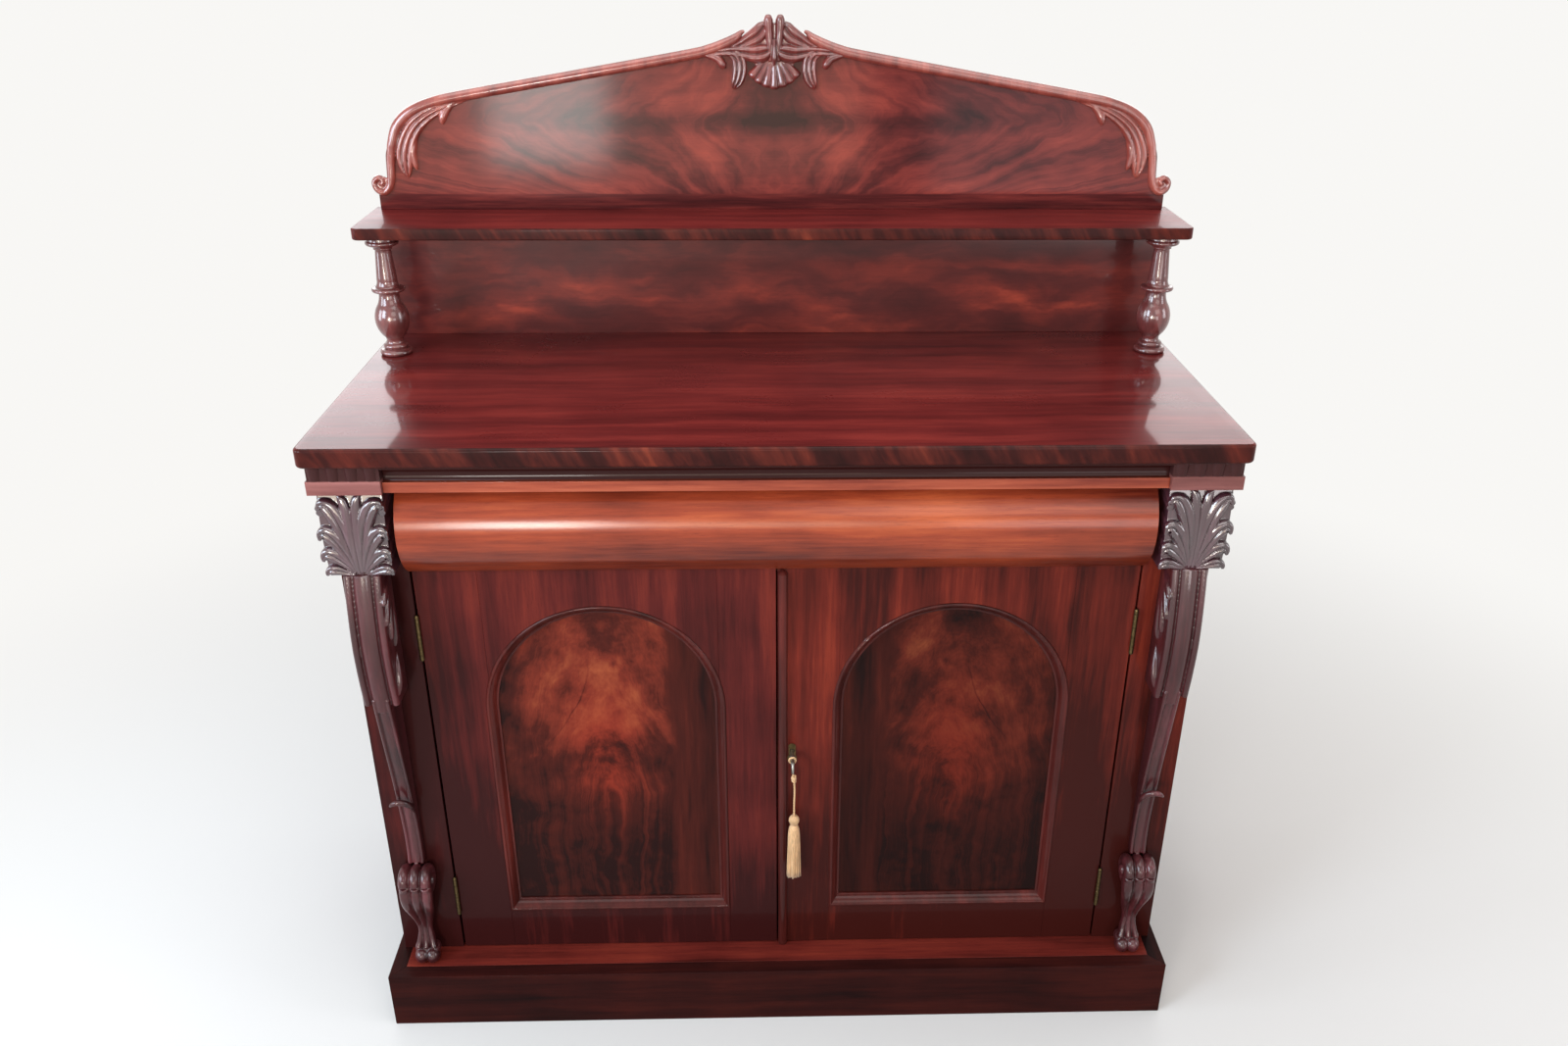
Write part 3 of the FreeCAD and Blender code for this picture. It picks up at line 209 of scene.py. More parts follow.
def fibres(wood, along, seed):
    """Fine straight fibres and short dark pores, for any cut of mahogany."""
    place = wood.place(ALONG[along], (seed * 0.37, seed * 0.61, seed * 0.29))
    fine = wood.noise(place, 210, 4, 0.6, 0.2)
    pores = wood.noise(place, 1300, 2, 0.5)
    return fine, pores.between(0.6, 0.72)


def polish(wood, colour, fine, pore, gloss=0.34, coat=0.25, haze=0.07, shine=0.12, depth=1.5):
    """French polish over wood: a soft body under a thin clear coat, with a breath of wear."""
    wear = wood.noise(wood.place(), 9, 5, 0.6)
    return wood.surface({
        "Base Color": colour,
        "Roughness": wear.between(0.3, 0.75) * 0.12 + gloss,
        "Specular IOR Level": shine,
        "Coat Weight": coat,
        "Coat Roughness": haze,
        "Coat IOR": depth,
        "Normal": wood.bump(fine * 0.3 - pore * 0.2, 0.08, 0.0003),
    })


# Each of these gives a board's painted shade at a place: how much darker it is painted, in metres from the
# middle and from the floor; below 0 it is a painted highlight.

def no_painted_light(x, z):
    return 0.0


def door_painted_shade(x, z):
    """Painted shade: doors darken towards the floor, and a painted shadow darkens them towards the
    brackets.
    """
    return (1 - z.between(0.06, 0.64)) * 0.16 + abs(x).between(0.3, 0.54) * 0.05


def left_painted_shade(x, z):
    """A painted shadow makes the left door and post darkest behind their bracket."""
    return door_painted_shade(x, z) + (1 - x.between(-0.54, -0.36)) * 0.05


def right_painted_shade(x, z):
    """Painted shade darkens the right door from its inner stile outwards, so the upper part of its inner
    stile stays reddest.
    """
    return door_painted_shade(x, z) + x.between(0.05, 0.22) * 0.06


def cushion_painted_light(x, z):
    """A painted highlight brightens the cushion drawer along its belly, and painted shade darkens it above
    and below.
    """
    return abs(z - BELLY).between(0.006, 0.05) * 0.1 - 0.04


def plain_mahogany(name, along, seed, tones=(DARK, RED, WARM), gloss=0.34, coat=0.1, stripe=34, haze=0.07,
                   painted_light=no_painted_light, shine=0.06):
    """Straight-grained boards with ribbon stripes that sway a little, under any painted shade or painted
    highlight that is given.
    """
    wood = Finish(name)
    across, _, level = wood.axes()
    x, y, z = wood.axes((seed * 0.37, seed * 0.61, seed * 0.29))
    long = {"x": x, "y": y, "z": z}[along]
    here = wood.join(x, y, z)
    sway = wood.noise(here, 2.6, 2, 0.5) * 0.05 + wood.noise(here, 11, 2, 0.5) * 0.008
    stretch = [axis * 0.05 if axis is long else axis + sway for axis in (x, y, z)]
    broad = wood.noise(wood.join(*stretch), stripe, 5, 0.55)
    cloud = wood.noise(here, 5, 3, 0.5)
    fine, pore = fibres(wood, along, seed)
    # the last term is painted shade taken off the tone, or a painted highlight where it is below 0
    tone = broad * 0.46 + fine * 0.2 + cloud * 0.34 - painted_light(across, level)
    dark, middle, light = tones
    colour = wood.ramp(tone, (0.36, dark), (0.5, middle), (0.64, light))
    return polish(wood, wood.mix(pore * 0.4, colour, dark), fine, pore, gloss, coat, haze, shine)


VENEER = 0.0012


def crossbanded(name, seed, tones, edge_y, gloss, coat):
    """A board with lengthwise grain, and short-grained veneer in patches along its front edge."""
    wood = Finish(name)
    x, y, z = wood.axes()
    here = wood.join(x, y, z)
    sway = wood.noise(here, 3.4, 3, 0.5) * 0.06
    broad = wood.noise(wood.join(x * 0.07, y + sway, z), 34, 5, 0.6)
    cloud = wood.noise(here, 6, 3, 0.5)
    fine, pore = fibres(wood, "x", seed)
    tone = broad * 0.55 + fine * 0.2 + cloud * 0.25
    dark, middle, light = tones
    lengthwise = wood.ramp(tone, (0.34, dark), (0.52, middle), (0.68, light))
    slant = x + z * 0.5 + seed
    patch = wood.noise(wood.join(slant, 0.0, 0.0), 12, 2, 0.5)
    flame = wood.noise(wood.join(slant, 0.0, z * 0.3), 80, 3, 0.55, 0.3)
    band = wood.ramp(patch * 0.7 + flame * 0.3, (0.36, tint(32, 13, 12)), (0.48, tint(54, 21, 19)),
                     (0.58, tint(86, 34, 27)), (0.7, tint(132, 58, 40)))
    edge = 1 - y.between(edge_y, edge_y + VENEER)
    colour = wood.mix(edge, wood.mix(pore * 0.08, lengthwise, dark), band)
    return polish(wood, colour, fine * 0.6, 0.0, gloss, (1 - edge * 0.8) * coat, shine=0.06)


def filleted(name, seed, top, hollow_shade, *tones):
    """A moulded piece under the top board: a paler, glossier fillet up to the level top, its paleness
    partly a painted highlight, and painted shade over the hollow above it.
    """
    wood = Finish(name)
    x, y, z = wood.axes()
    broad = wood.noise(wood.join(x * 0.06, y, z), 40, 4, 0.55)
    fine, pore = fibres(wood, "x", seed)
    fillet = 1 - z.between(top - 0.0005, top + 0.0005)
    dark, middle, light = tones
    pale = wood.ramp(broad * 0.7 + fine * 0.3, (0.36, dark), (0.5, middle), (0.64, light))
    # painted shade over the hollow above the fillet
    colour = wood.mix(fillet, hollow_shade, pale)
    colour = wood.mix(pore * 0.2, colour, DARK)
    return polish(wood, colour, fine, pore, 0.3, coat=fillet * 0.25 + 0.2, haze=0.1, shine=0.06)


def plain_back(wood, y, rear, colour):
    """A veneered board shows only its plain ground at the back."""
    return wood.mix(y.between(rear - 0.001, rear - 0.0005), colour, tint(90, 54, 36))


# levels in the pediment's veneer, and the middle of the ring of figure on either side
PEDIMENT_SEAM = 1.238
PEDIMENT_FOOT = 1.137
RING_X = 0.055
RING_Z = 1.196


def mirrored_flame(name, seed, rear):
    """Crotch veneer matched about the middle and about a level seam: flames that fan out from there."""
    wood = Finish(name)
    x, y, z = wood.axes()
    across = abs(x)
    above = z - PEDIMENT_SEAM
    off = abs(above)
    drift = wood.noise(wood.join(across, 0.0, z), 6, 3, 0.55) - 0.5
    flick = wood.noise(wood.join(across * 0.8, 0.0, z), 19, 4, 0.6) - 0.5
    fan = (across + 0.02) / (1.06 - off * 5.4) + drift * 0.26 + flick * 0.09
    foot = 1 - z.between(PEDIMENT_FOOT - 0.001, PEDIMENT_FOOT + 0.001)
    broad = wood.noise(wood.join(fan, 0.0, above * 0.3 + seed), 15, 3, 0.5)
    stripe = wood.noise(wood.join(fan, 0.0, above * 0.4 + seed), 44, 4, 0.55)
    thread = wood.noise(wood.join(fan, 0.0, above * 0.5 + seed), 150, 3, 0.5)
    cloud = wood.noise(wood.join(across * 0.6, seed, z), 15, 3, 0.55)
    fine, pore = fibres(wood, "x", seed)
    plain = wood.noise(wood.join(x * 0.06, 0.0, z + drift * 0.01), 60, 4, 0.55)
    tone = broad * 0.34 + stripe * 0.16 + thread * 0.06 + cloud * 0.38 + fine * 0.06
    tone = tone * (1 - foot) + (plain * 0.4 + fine * 0.2 + 0.17) * foot
    seam = off.near(0.0, 0.024) * across.between(0.52, 0.2) * (1 - foot)
    heart = across.near(0.0, 0.13) * above.between(-0.035, 0.0)
    ring = (((across - RING_X) * 1.1) ** 2 + ((z - RING_Z) * 1.7) ** 2) ** 0.5 + flick * 0.02
    glow = across.near(0.2, 0.17) * off.near(0.055, 0.05) + ring.near(0.05, 0.02) * 0.8
    tone = tone + glow * 0.015 - seam * 0.08 - heart * 0.09 - ring.near(0.0, 0.035) * 0.06
    colour = wood.ramp(tone, (0.36, tint(43, 16, 17)), (0.45, tint(77, 28, 28)),
                       (0.54, tint(111, 43, 39)), (0.64, tint(140, 58, 48)))
    colour = wood.mix(pore * 0.25, plain_back(wood, y, rear, colour), DARK)
    return polish(wood, colour, fine, pore, 0.3, coat=0.18, haze=0.11, shine=0.02)


# places in a door panel's veneer, from the panel's middle and from the floor
PLUME_FOOT = 0.36
HEART_Z = 0.42
KNOT_X = 0.012
KNOT_Z = 0.585
CRACK_X = 0.022
CRACK_Z = 0.52
CRACK_TOP = 0.6
STRAIGHT_FROM = 0.074


def feathered_panel(name, centre, hand, shade, seed):
    """Curl veneer of a door panel: arched plumes over a red heart, darker low, straight at one side."""
    wood = Finish(name)
    x, y, z = wood.axes((-centre, 0.0, 0.0))
    x = x * hand
    drift = wood.noise(wood.join(x, seed, z), 7, 3, 0.55) - 0.5
    flick = wood.noise(wood.join(x, seed, z), 26, 3, 0.55) - 0.5
    spine = x + drift * 0.05 + 0.004
    side = abs(spine)
    rise = (z - PLUME_FOOT).most(0.0) + drift * 0.05
    arch = ((side * 2.0) ** 2 + rise * rise) ** 0.5 + flick * 0.038
    broad = wood.noise(wood.join(arch, seed, spine * 0.8), 14, 3, 0.5)
    stripe = wood.noise(wood.join(arch, seed, spine), 52, 4, 0.55)
    thread = wood.noise(wood.join(arch, seed, spine * 1.2), 190, 3, 0.5)
    blot = wood.noise(wood.join(x, seed + 3.0, z * 0.9), 17, 4, 0.6)
    fine, pore = fibres(wood, "z", seed)
    tone = broad * 0.32 + stripe * 0.15 + thread * 0.11 + blot * 0.42
    high = z.between(0.4, 0.6)
    low = 1 - z.between(0.24, 0.46)
    plume = arch.near(0.2, 0.13) * high * z.between(0.67, 0.62)
    heart = side.near(0.0, 0.085) * z.near(HEART_Z, 0.2)
    crown = side.near(0.0, 0.05) * z.between(0.56, 0.64)
    shadow = low * (blot.between(0.44, 0.62) * 0.1 + 0.06)
    tone = tone + plume * 0.075 + heart * 0.04 - crown * 0.09 - shadow - side.between(0.1, 0.155) * 0.1
    knot = ((spine - KNOT_X) ** 2 + (z - KNOT_Z) ** 2) ** 0.5
    line = x + CRACK_X + (CRACK_TOP - z) * (CRACK_TOP - z) * 3.0 + flick * 0.01
    crack = abs(line).near(0.0, 0.0022) * z.near(CRACK_Z, 0.09)
    tone = tone + knot.near(0.01, 0.009) * 0.04 - knot.near(0.0, 0.006) * 0.05 - crack * 0.08
    ribbon = wood.noise(wood.join(x + drift * 0.04, seed, z * 0.08), 46, 3, 0.55)
    edge = (x + drift * 0.03).between(STRAIGHT_FROM, 0.1)
    tone = tone * (1 - edge) + (ribbon * 0.26 + fine * 0.12 + 0.24) * edge
    dark, middle, light, bright, glow = (shaded(tint(*rgb), shade) for rgb in (
        (32, 13, 12), (73, 28, 22), (113, 45, 33), (146, 74, 48), (152, 51, 36)))
    colour = wood.ramp(tone, (0.36, dark), (0.47, middle), (0.57, light), (0.68, bright))
    colour = wood.mix(heart * 0.5, colour, wood.mix(tone.between(0.4, 0.6), dark, glow))
    colour = wood.mix(pore * 0.3, colour, dark)
    return polish(wood, colour, fine, pore, 0.36, coat=0.08, shine=0.05)


FIRE_LEVEL = 0.985


def flowing_back(name, seed, rear):
    """Figured veneer of the gallery back: level swirls with flecks of fire, and a painted shadow of the
    shelf along its top.
    """
    wood = Finish(name)
    x, y, z = wood.axes()
    drift = wood.noise(wood.join(x * 0.5, seed, z), 9, 3, 0.55) - 0.5
    flick = wood.noise(wood.join(x * 0.6, seed, z), 30, 4, 0.6) - 0.5
    line = z + drift * 0.11 + flick * 0.035
    broad = wood.noise(wood.join(x * 0.3, seed, line), 20, 3, 0.5)
    stripe = wood.noise(wood.join(x * 0.3, seed, line), 70, 4, 0.6)
    fine, pore = fibres(wood, "x", seed)
    spots = wood.noise(wood.join(x * 0.5, seed + 5.0, z), 14, 4, 0.6)
    fleck = spots.between(0.5, 0.66) * z.near(FIRE_LEVEL, 0.06)
    # the last term is the shelf's painted shadow along the top
    tone = broad * 0.74 + stripe * 0.16 + fine * 0.1 + fleck * 0.09 - z.between(1.0, 1.07) * 0.04
    colour = wood.ramp(tone, (0.32, tint(56, 21, 21)), (0.48, tint(82, 30, 28)),
                       (0.6, tint(110, 41, 34)), (0.74, tint(156, 62, 45)))
    colour = wood.mix(pore * 0.25, plain_back(wood, y, rear, colour), DARK)
    return polish(wood, colour, fine, pore, 0.3)


def carved_wood(name, dark, middle, light, depth=1.68):
    """Dense mahogany under many coats of polish, with painted shade darkening the cuts and a painted
    highlight on the ridges.
    """
    wood = Finish(name)
    ridge = wood.node("ShaderNodeNewGeometry", output="Pointiness")
    z = wood.axes()[2]
    place = wood.place(ALONG["z"], (4.2, 1.3, 2.2))
    broad = wood.noise(place, 40, 4, 0.55, 0.4)
    fine, pore = fibres(wood, "z", 4.2)
    colour = wood.ramp(broad * 0.7 + fine * 0.3, (0.32, dark), (0.52, middle), (0.7, light))
    # painted shade in the cuts
    colour = wood.mix(1 - ridge.between(0.42, 0.5), colour, tint(15, 6, 5))
    # painted highlight on the ridges
    colour = wood.mix(ridge.between(0.52, 0.62) * 0.4, colour, light)
    worn = z.between(0.6, 0.8) * 0.66 + 0.34
    coat = (ridge.between(0.44, 0.52) * 0.5 + 0.5) * worn
    return polish(wood, colour, fine, pore, 0.3, coat, haze=0.13, shine=0.16, depth=depth)


def softwood(name, along, seed):
    """Unpolished deal, for what stays out of sight."""
    wood = Finish(name)
    place = wood.place(ALONG[along], (seed, seed * 0.61, seed * 0.29))
    rings = wood.noise(place, 60, 3, 0.5)
    fine, pore = fibres(wood, along, seed)
    colour = wood.ramp(rings * 0.7 + fine * 0.3, (0.35, tint(135, 96, 58)),
                       (0.5, tint(173, 133, 86)), (0.66, tint(199, 160, 109)))
    return wood.surface({"Base Color": colour, "Roughness": 0.72, "Normal": wood.bump(fine, 0.2, 0.0004)})


def silk(name, shade):
    """Silk thread: a soft sheen over fine upright plies, a little grubby."""
    thread = Finish(name)
    ply = thread.noise(thread.place(ALONG["z"]), 1500, 3, 0.6)
    grime = thread.noise(thread.place(), 60, 3, 0.5)
    dim = shaded(shade, 0.6)
    colour = thread.mix(ply.between(0.35, 0.65), dim, shade)
    colour = thread.mix(grime.between(0.45, 0.7) * 0.4, colour, dim)
    return thread.surface({"Base Color": colour, "Roughness": 0.55, "Sheen Weight": 0.3,
                           "Sheen Roughness": 0.4, "Normal": thread.bump(ply, 0.5, 0.0006)})


def worn_metal(name, shade):
    """Handled brass or steel, dark where it has stained."""
    metal = Finish(name)
    stain = metal.noise(metal.place(), 240, 5, 0.65)
    colour = metal.ramp(stain, (0.35, shaded(shade, 0.35)), (0.7, shade))
    return metal.surface({"Base Color": colour, "Metallic": 1.0, "Roughness": stain * -0.25 + 0.55,
                          "Normal": metal.bump(stain, 0.15, 0.0002)})


# ---------------------------------------------------------------- dressing the frame's nodes

def body_of(node):
    return frame["nodes"][node]["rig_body"]


def placed(name, data):
    """A new object in the scene."""
    made = bpy.data.objects.new(name, data)
    bpy.context.scene.collection.objects.link(made)
    return made


def mesh_from(bm, name):
    mesh = bpy.data.meshes.new(name)
    bm.to_mesh(mesh)
    bm.free()
    return mesh


def worked_out(helper):
    """The mesh that an object's modifiers or curve come to; the object itself goes."""
    depsgraph = bpy.context.evaluated_depsgraph_get()
    mesh = bpy.data.meshes.new_from_object(helper.evaluated_get(depsgraph))
    bpy.data.objects.remove(helper)
    return mesh


def add_piece(name, mesh, material, body, slot, *nodes):
    """A new piece that rides on a body and stands for the nodes, if any are given."""
    piece = placed(name, mesh)
    mesh.materials.clear()
    mesh.materials.append(material)
    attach(piece, body)
    if nodes:
        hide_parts(*nodes)
    return piece


def dress(node, material, slot, arris, angle=32):
    """A copy of a node's mesh with welded edges, eased by arris millimetres, standing for the node."""
    bm = bmesh.new()
    bm.from_mesh(frame["nodes"][node].data)
    bmesh.ops.remove_doubles(bm, verts=bm.verts, dist=1e-6)
    bmesh.ops.dissolve_limit(bm, angle_limit=math.radians(0.5), verts=bm.verts, edges=bm.edges)
    mesh = mesh_from(bm, node + "_dressed")
    piece = add_piece(node + "_dressed", mesh, material, body_of(node), slot, node)
    mesh.polygons.foreach_set("use_smooth", [True] * len(mesh.polygons))
    mesh.set_sharp_from_angle(angle=math.radians(angle))
    if arris:
        bevel = piece.modifiers.new("arris", "BEVEL")
        bevel.width = arris * MM
        bevel.segments = 2
        bevel.limit_method = "ANGLE"
        bevel.angle_limit = math.radians(angle)
        bevel.harden_normals = True
    return piece


# ---------------------------------------------------------------- carving

def glide(t, a, b, c, d):
    """Between b and c on the smooth curve that also passes a and d."""
    bend = 2 * a - 5 * b + 4 * c - d
    twist = 3 * b - a - 3 * c + d
    return 0.5 * (2 * b + (c - a) * t + bend * t * t + twist * t ** 3)


def through(stations, steps):
    """Rows along a smooth curve through the stations, each a row of numbers."""
    rows = [stations[0], *stations, stations[-1]]
    found = []
    for four in zip(rows, rows[1:], rows[2:], rows[3:]):
        for i in range(steps):
            found.append([glide(i / steps, *numbers) for numbers in zip(*four)])
    found.append(list(stations[-1]))
    return found


def strand(bm, stations, facing=(0, -1, 0), sides=12, steps=5, part=1.0, aside=0.0):
    """A tapering strand through stations of x, y, z, half width and half height.

    A part under 1 makes it one flute of a wider leaf, set aside from the leaf's middle line.
    """
    rows = through(stations, steps)
    points = [Vector(row[:3]) * MM for row in rows]
    last = len(rows) - 1
    edges = []
    place = None
    for i, row in enumerate(rows):
        along = (points[min(i + 1, last)] - points[max(i - 1, 0)]).normalized()
        side = along.cross(Vector(facing)).normalized()
        up = side.cross(along)
        wide, high = (max(size, 0.3) * MM for size in row[3:5])
        target = Matrix((side * wide * part, up * high, along * MM)).transposed().to_4x4()
        target.translation = points[i] + side * wide * aside
        if place is None:
            circle = bmesh.ops.create_circle(bm, cap_ends=True, radius=1, segments=sides, matrix=target)
            edges = list(dict.fromkeys(e for v in circle["verts"] for e in v.link_edges))
        else:
            made = bmesh.ops.extrude_edge_only(bm, edges=edges)["geom"]
            ring = [g for g in made if isinstance(g, bmesh.types.BMVert)]
            edges = [g for g in made if isinstance(g, bmesh.types.BMEdge)]
            bmesh.ops.transform(bm, matrix=target @ place.inverted(), verts=ring)
        place = target
    bmesh.ops.contextual_create(bm, geom=edges)


def fluted(bm, stations, flutes, facing=(0, -1, 0)):
    """A leaf of round flutes side by side, the middle ones standing highest."""
    for i in range(flutes):
        aside = (2 * i + 1) / flutes - 1
        lower = 1 - 0.3 * aside * aside
        rows = [(*row[:4], row[4] * lower) for row in stations]
        strand(bm, rows, facing, part=1.25 / flutes, aside=aside)


def slab(bm, corners, push):
    """A flat face through the corners, drawn out along push."""
    face = bm.faces.new([bm.verts.new(Vector(c) * MM) for c in corners])
    made = bmesh.ops.extrude_face_region(bm, geom=[face])["geom"]
    moved = [g for g in made if isinstance(g, bmesh.types.BMVert)]
    bmesh.ops.translate(bm, vec=Vector(push) * MM, verts=moved)


def bead(bm, centre, size):
    """A round or oval bead: its centre and half sizes."""
    place = Matrix.Translation(Vector(centre) * MM) @ Matrix.Diagonal((*(Vector(size) * MM), 1))
    bmesh.ops.create_uvsphere(bm, u_segments=20, v_segments=12, radius=1, matrix=place)


def trim(bm, point, normal):
    """Cut away what lies past the plane, and close the cut."""
    geom = bm.verts[:] + bm.edges[:] + bm.faces[:]
    cut = bmesh.ops.bisect_plane(bm, geom=geom, plane_co=Vector(point) * MM, plane_no=normal,
                                 clear_outer=True)
    rim = [g for g in cut["geom_cut"] if isinstance(g, bmesh.types.BMEdge)]
    if rim:
        bmesh.ops.holes_fill(bm, edges=rim, sides=0)


def carved_mesh(name, bm, voxel, eases, planes=()):
    """Blend the strands and slabs into one skin, as cut from one block, and trim it."""
    bmesh.ops.recalc_face_normals(bm, faces=bm.faces)
    rough = mesh_from(bm, "rough")
    block = placed("block", rough)
    skin = block.modifiers.new("skin", "REMESH")
    skin.mode = "VOXEL"
    skin.voxel_size = voxel * MM
    skin.use_smooth_shade = True
    ease = block.modifiers.new("ease", "SMOOTH")
    ease.factor = 0.5
    ease.iterations = eases
    mesh = worked_out(block)
    bpy.data.meshes.remove(rough)
    if planes:
        bm = bmesh.new()
        bm.from_mesh(mesh)
        for point, normal in planes:
            trim(bm, point, normal)
        bm.to_mesh(mesh)
        bm.free()
    mesh.name = name
    return mesh


def carved_pair(node, mesh, material, slot="carved_mahogany"):
    """The right-hand carving and its mirrored twin, standing for the nodes on both sides."""
    other = mesh.copy()
    other.transform(Matrix.Scale(-1, 4, (1, 0, 0)))
    other.flip_normals()
    for side, shape in (("right", mesh), ("left", other)):
        name = node + "_" + side
        add_piece(name + "_carved", shape, material, body_of(name), slot, name)


def middle_of(node):
    low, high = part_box(node)
    return (low + high) / 2 / MM


def mid(low, high, share):
    return low + (high - low) * share


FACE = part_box("front_stile_right")[0].y / MM
CONSOLE_X = middle_of("console_right").x
CAPITAL_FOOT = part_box("capital_right")[0].z / MM
CAPITAL_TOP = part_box("capital_right")[1].z / MM
PLINTH_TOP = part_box("plinth_front")[1].z / MM
PANEL_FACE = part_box("pediment_panel")[0].y / MM
CREST_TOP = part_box("crest_carving")[1].z / MM


def from_face(x, out, z, wide, high):
    """A station measured sideways from the console's middle and forward from the doors' face."""
    return (CONSOLE_X + x, FACE - out, z, wide, high)


CAPITAL_HALF = 40
CAPITAL_OUT = 48
CAPITAL_BELLY = 6


def capital_out(z):
    """How far the capital's ground stands forward at a level."""
    share = 2 * (z - CAPITAL_FOOT) / (CAPITAL_TOP - CAPITAL_FOOT) - 1
    return CAPITAL_OUT - CAPITAL_BELLY * share * share


# how far a slab runs in behind the doors' face before it is trimmed
BEHIND = 2
# one half of the capital's leaf: each lobe's way sideways and up from the foot, and its half width
LOBES = (((2, 4, 2), (3.4, 30, 3.4), (4.4, 60, 4.4), (6, 90, 5), (9, 107, 4.2), (13, 113, 1.5)),
         ((4, 12, 2), (9, 46, 6), (16, 76, 9), (25, 96, 9), (34, 102, 6), (39, 95, 1.5)),
         ((5, 8, 2), (13, 32, 6), (23, 53, 9), (33, 64, 8.5), (39.5, 62, 5), (42, 54, 1.5)),
         ((6, 6, 2), (15, 18, 5), (26, 30, 8), (35, 35, 7.5), (40.5, 31, 4.5), (42, 24, 1.5)),
         ((7, 4, 2), (17, 6, 4), (27, 10, 6), (35, 11, 5.5), (40, 7, 3.5), (41, 3, 1.5)))


def capital():
    """Acanthus leaf: lobes that rise along a middle stem and curl over to the sides."""
    bm = bmesh.new()
    levels = [mid(CAPITAL_FOOT, CAPITAL_TOP, i / 8) for i in range(9)]
    inner = CONSOLE_X - CAPITAL_HALF
    side = [(inner, FACE - capital_out(z) + 3, z) for z in levels]
    back = [(inner, FACE + BEHIND, CAPITAL_TOP), (inner, FACE + BEHIND, CAPITAL_FOOT)]
    slab(bm, side + back, (2 * CAPITAL_HALF, 0, 0))
    for hand in (-1, 1):
        for lobe in LOBES:
            path = []
            for (x, rise, wide), curl in zip(lobe, (0, 0, 0.5, 1.5, 2.5, 2.5)):
                z = CAPITAL_FOOT + rise
                path.append(from_face(hand * x, capital_out(z) - 2 + curl, z, wide, 2.4 + wide * 0.5))
            fluted(bm, path, 1 if lobe is LOBES[0] else 2)
        for lobe in LOBES[1:4]:
            z = CAPITAL_FOOT + lobe[3][1]
            flank = [(CONSOLE_X + hand * (CAPITAL_HALF - 1.5), FACE - out, z + lift, wide, 4.5)
                     for out, wide, lift in ((46, 7, -4), (32, 9, 0), (16, 7, 5), (2, 4, 9))]
            fluted(bm, flank, 2, (hand, 0, 0))
    limits = [((0, FACE, 0), (0, 1, 0)), ((0, 0, CAPITAL_TOP), (0, 0, 1)),
              ((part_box("capital_right")[0].x / MM, 0, 0), (-1, 0, 0))]
    return carved_mesh("capital", bm, 0.8, 1, limits)


SCROLL_TOP = 756
SCROLL_END = 266
# front line of the scroll bracket: level, and how far forward it stands
SCROLL_LINE = ((SCROLL_TOP, 47), (725, 53), (687, 58), (655, 60.5), (629, 60), (590, 56), (547, 49),
               (508, 42), (470, 35), (425, 27), (383, 21), (345, 16), (315, 13.5), (285, 14),
               (SCROLL_END, 17))
STEP_Z = 558
STEP_TOP = STEP_Z + 12
VOLUTE_Z = 243
VOLUTE_OUT = 22
ROLL_PITCH = 15.5
ROLL_RADIUS = 14.5
SPRAY_TOP = 738


def front_line(top, bottom):
    """Levels from top to bottom and how far forward the scroll stands at each."""
    rows = through(SCROLL_LINE, 6)
    steps = round((top - bottom) / 16)
    found = []
    for i in range(steps + 1):
        z = mid(top, bottom, i / steps)
        above, below = next(pair for pair in zip(rows, rows[1:]) if pair[0][0] >= z >= pair[1][0])
        found.append((z, mid(above[1], below[1], (above[0] - z) / (above[0] - below[0]))))
    return found


def along_line(x, top, bottom, sink, wide, high):
    """Stations down the scroll's front line between two levels."""
    return [from_face(x, out - sink, z, wide, high) for z, out in front_line(top, bottom)]


def reeds(bm):
    """Three reeds down to the step, three finer ones from there to the volute, and the ground behind."""
    strand(bm, along_line(0, SCROLL_TOP, STEP_Z - 8, 9.5, 12.5, 9.5), sides=20, steps=2)
    for hand in (-1, 1):
        strand(bm, along_line(hand * 18.5, SCROLL_TOP, STEP_Z + 2, 8.5, 5.2, 6.5), steps=2)
        strand(bm, along_line(hand * 9.0, STEP_TOP, SCROLL_END, 4.0, 2.6, 3.6), steps=2)
    strand(bm, along_line(0, STEP_TOP, SCROLL_END, 7.2, 8.4, 4.6), sides=16, steps=2)
    for half, sink, top, bottom in ((22.5, 11, SCROLL_TOP, STEP_Z), (10.5, 6, STEP_TOP, SCROLL_END)):
        x = CONSOLE_X - half
        front = [(x, FACE - out + sink, z) for z, out in front_line(top, bottom)]
        back = [(x, FACE + BEHIND, front[-1][2]), (x, FACE + BEHIND, front[0][2])]
        slab(bm, front + back, (2 * half, 0, 0))


def hook(bm):
    """The leaf that hooks over the lower reeds."""
    stations = ((-11, 17, 362, 2.5, 3), (-9, 24, 376, 4, 4), (-2, 30, 386, 4.6, 4.4), (7, 33, 389, 4.2, 4),
                (14, 33, 386, 3, 3), (18.5, 31, 381, 1, 1))
    strand(bm, [from_face(*row) for row in stations])


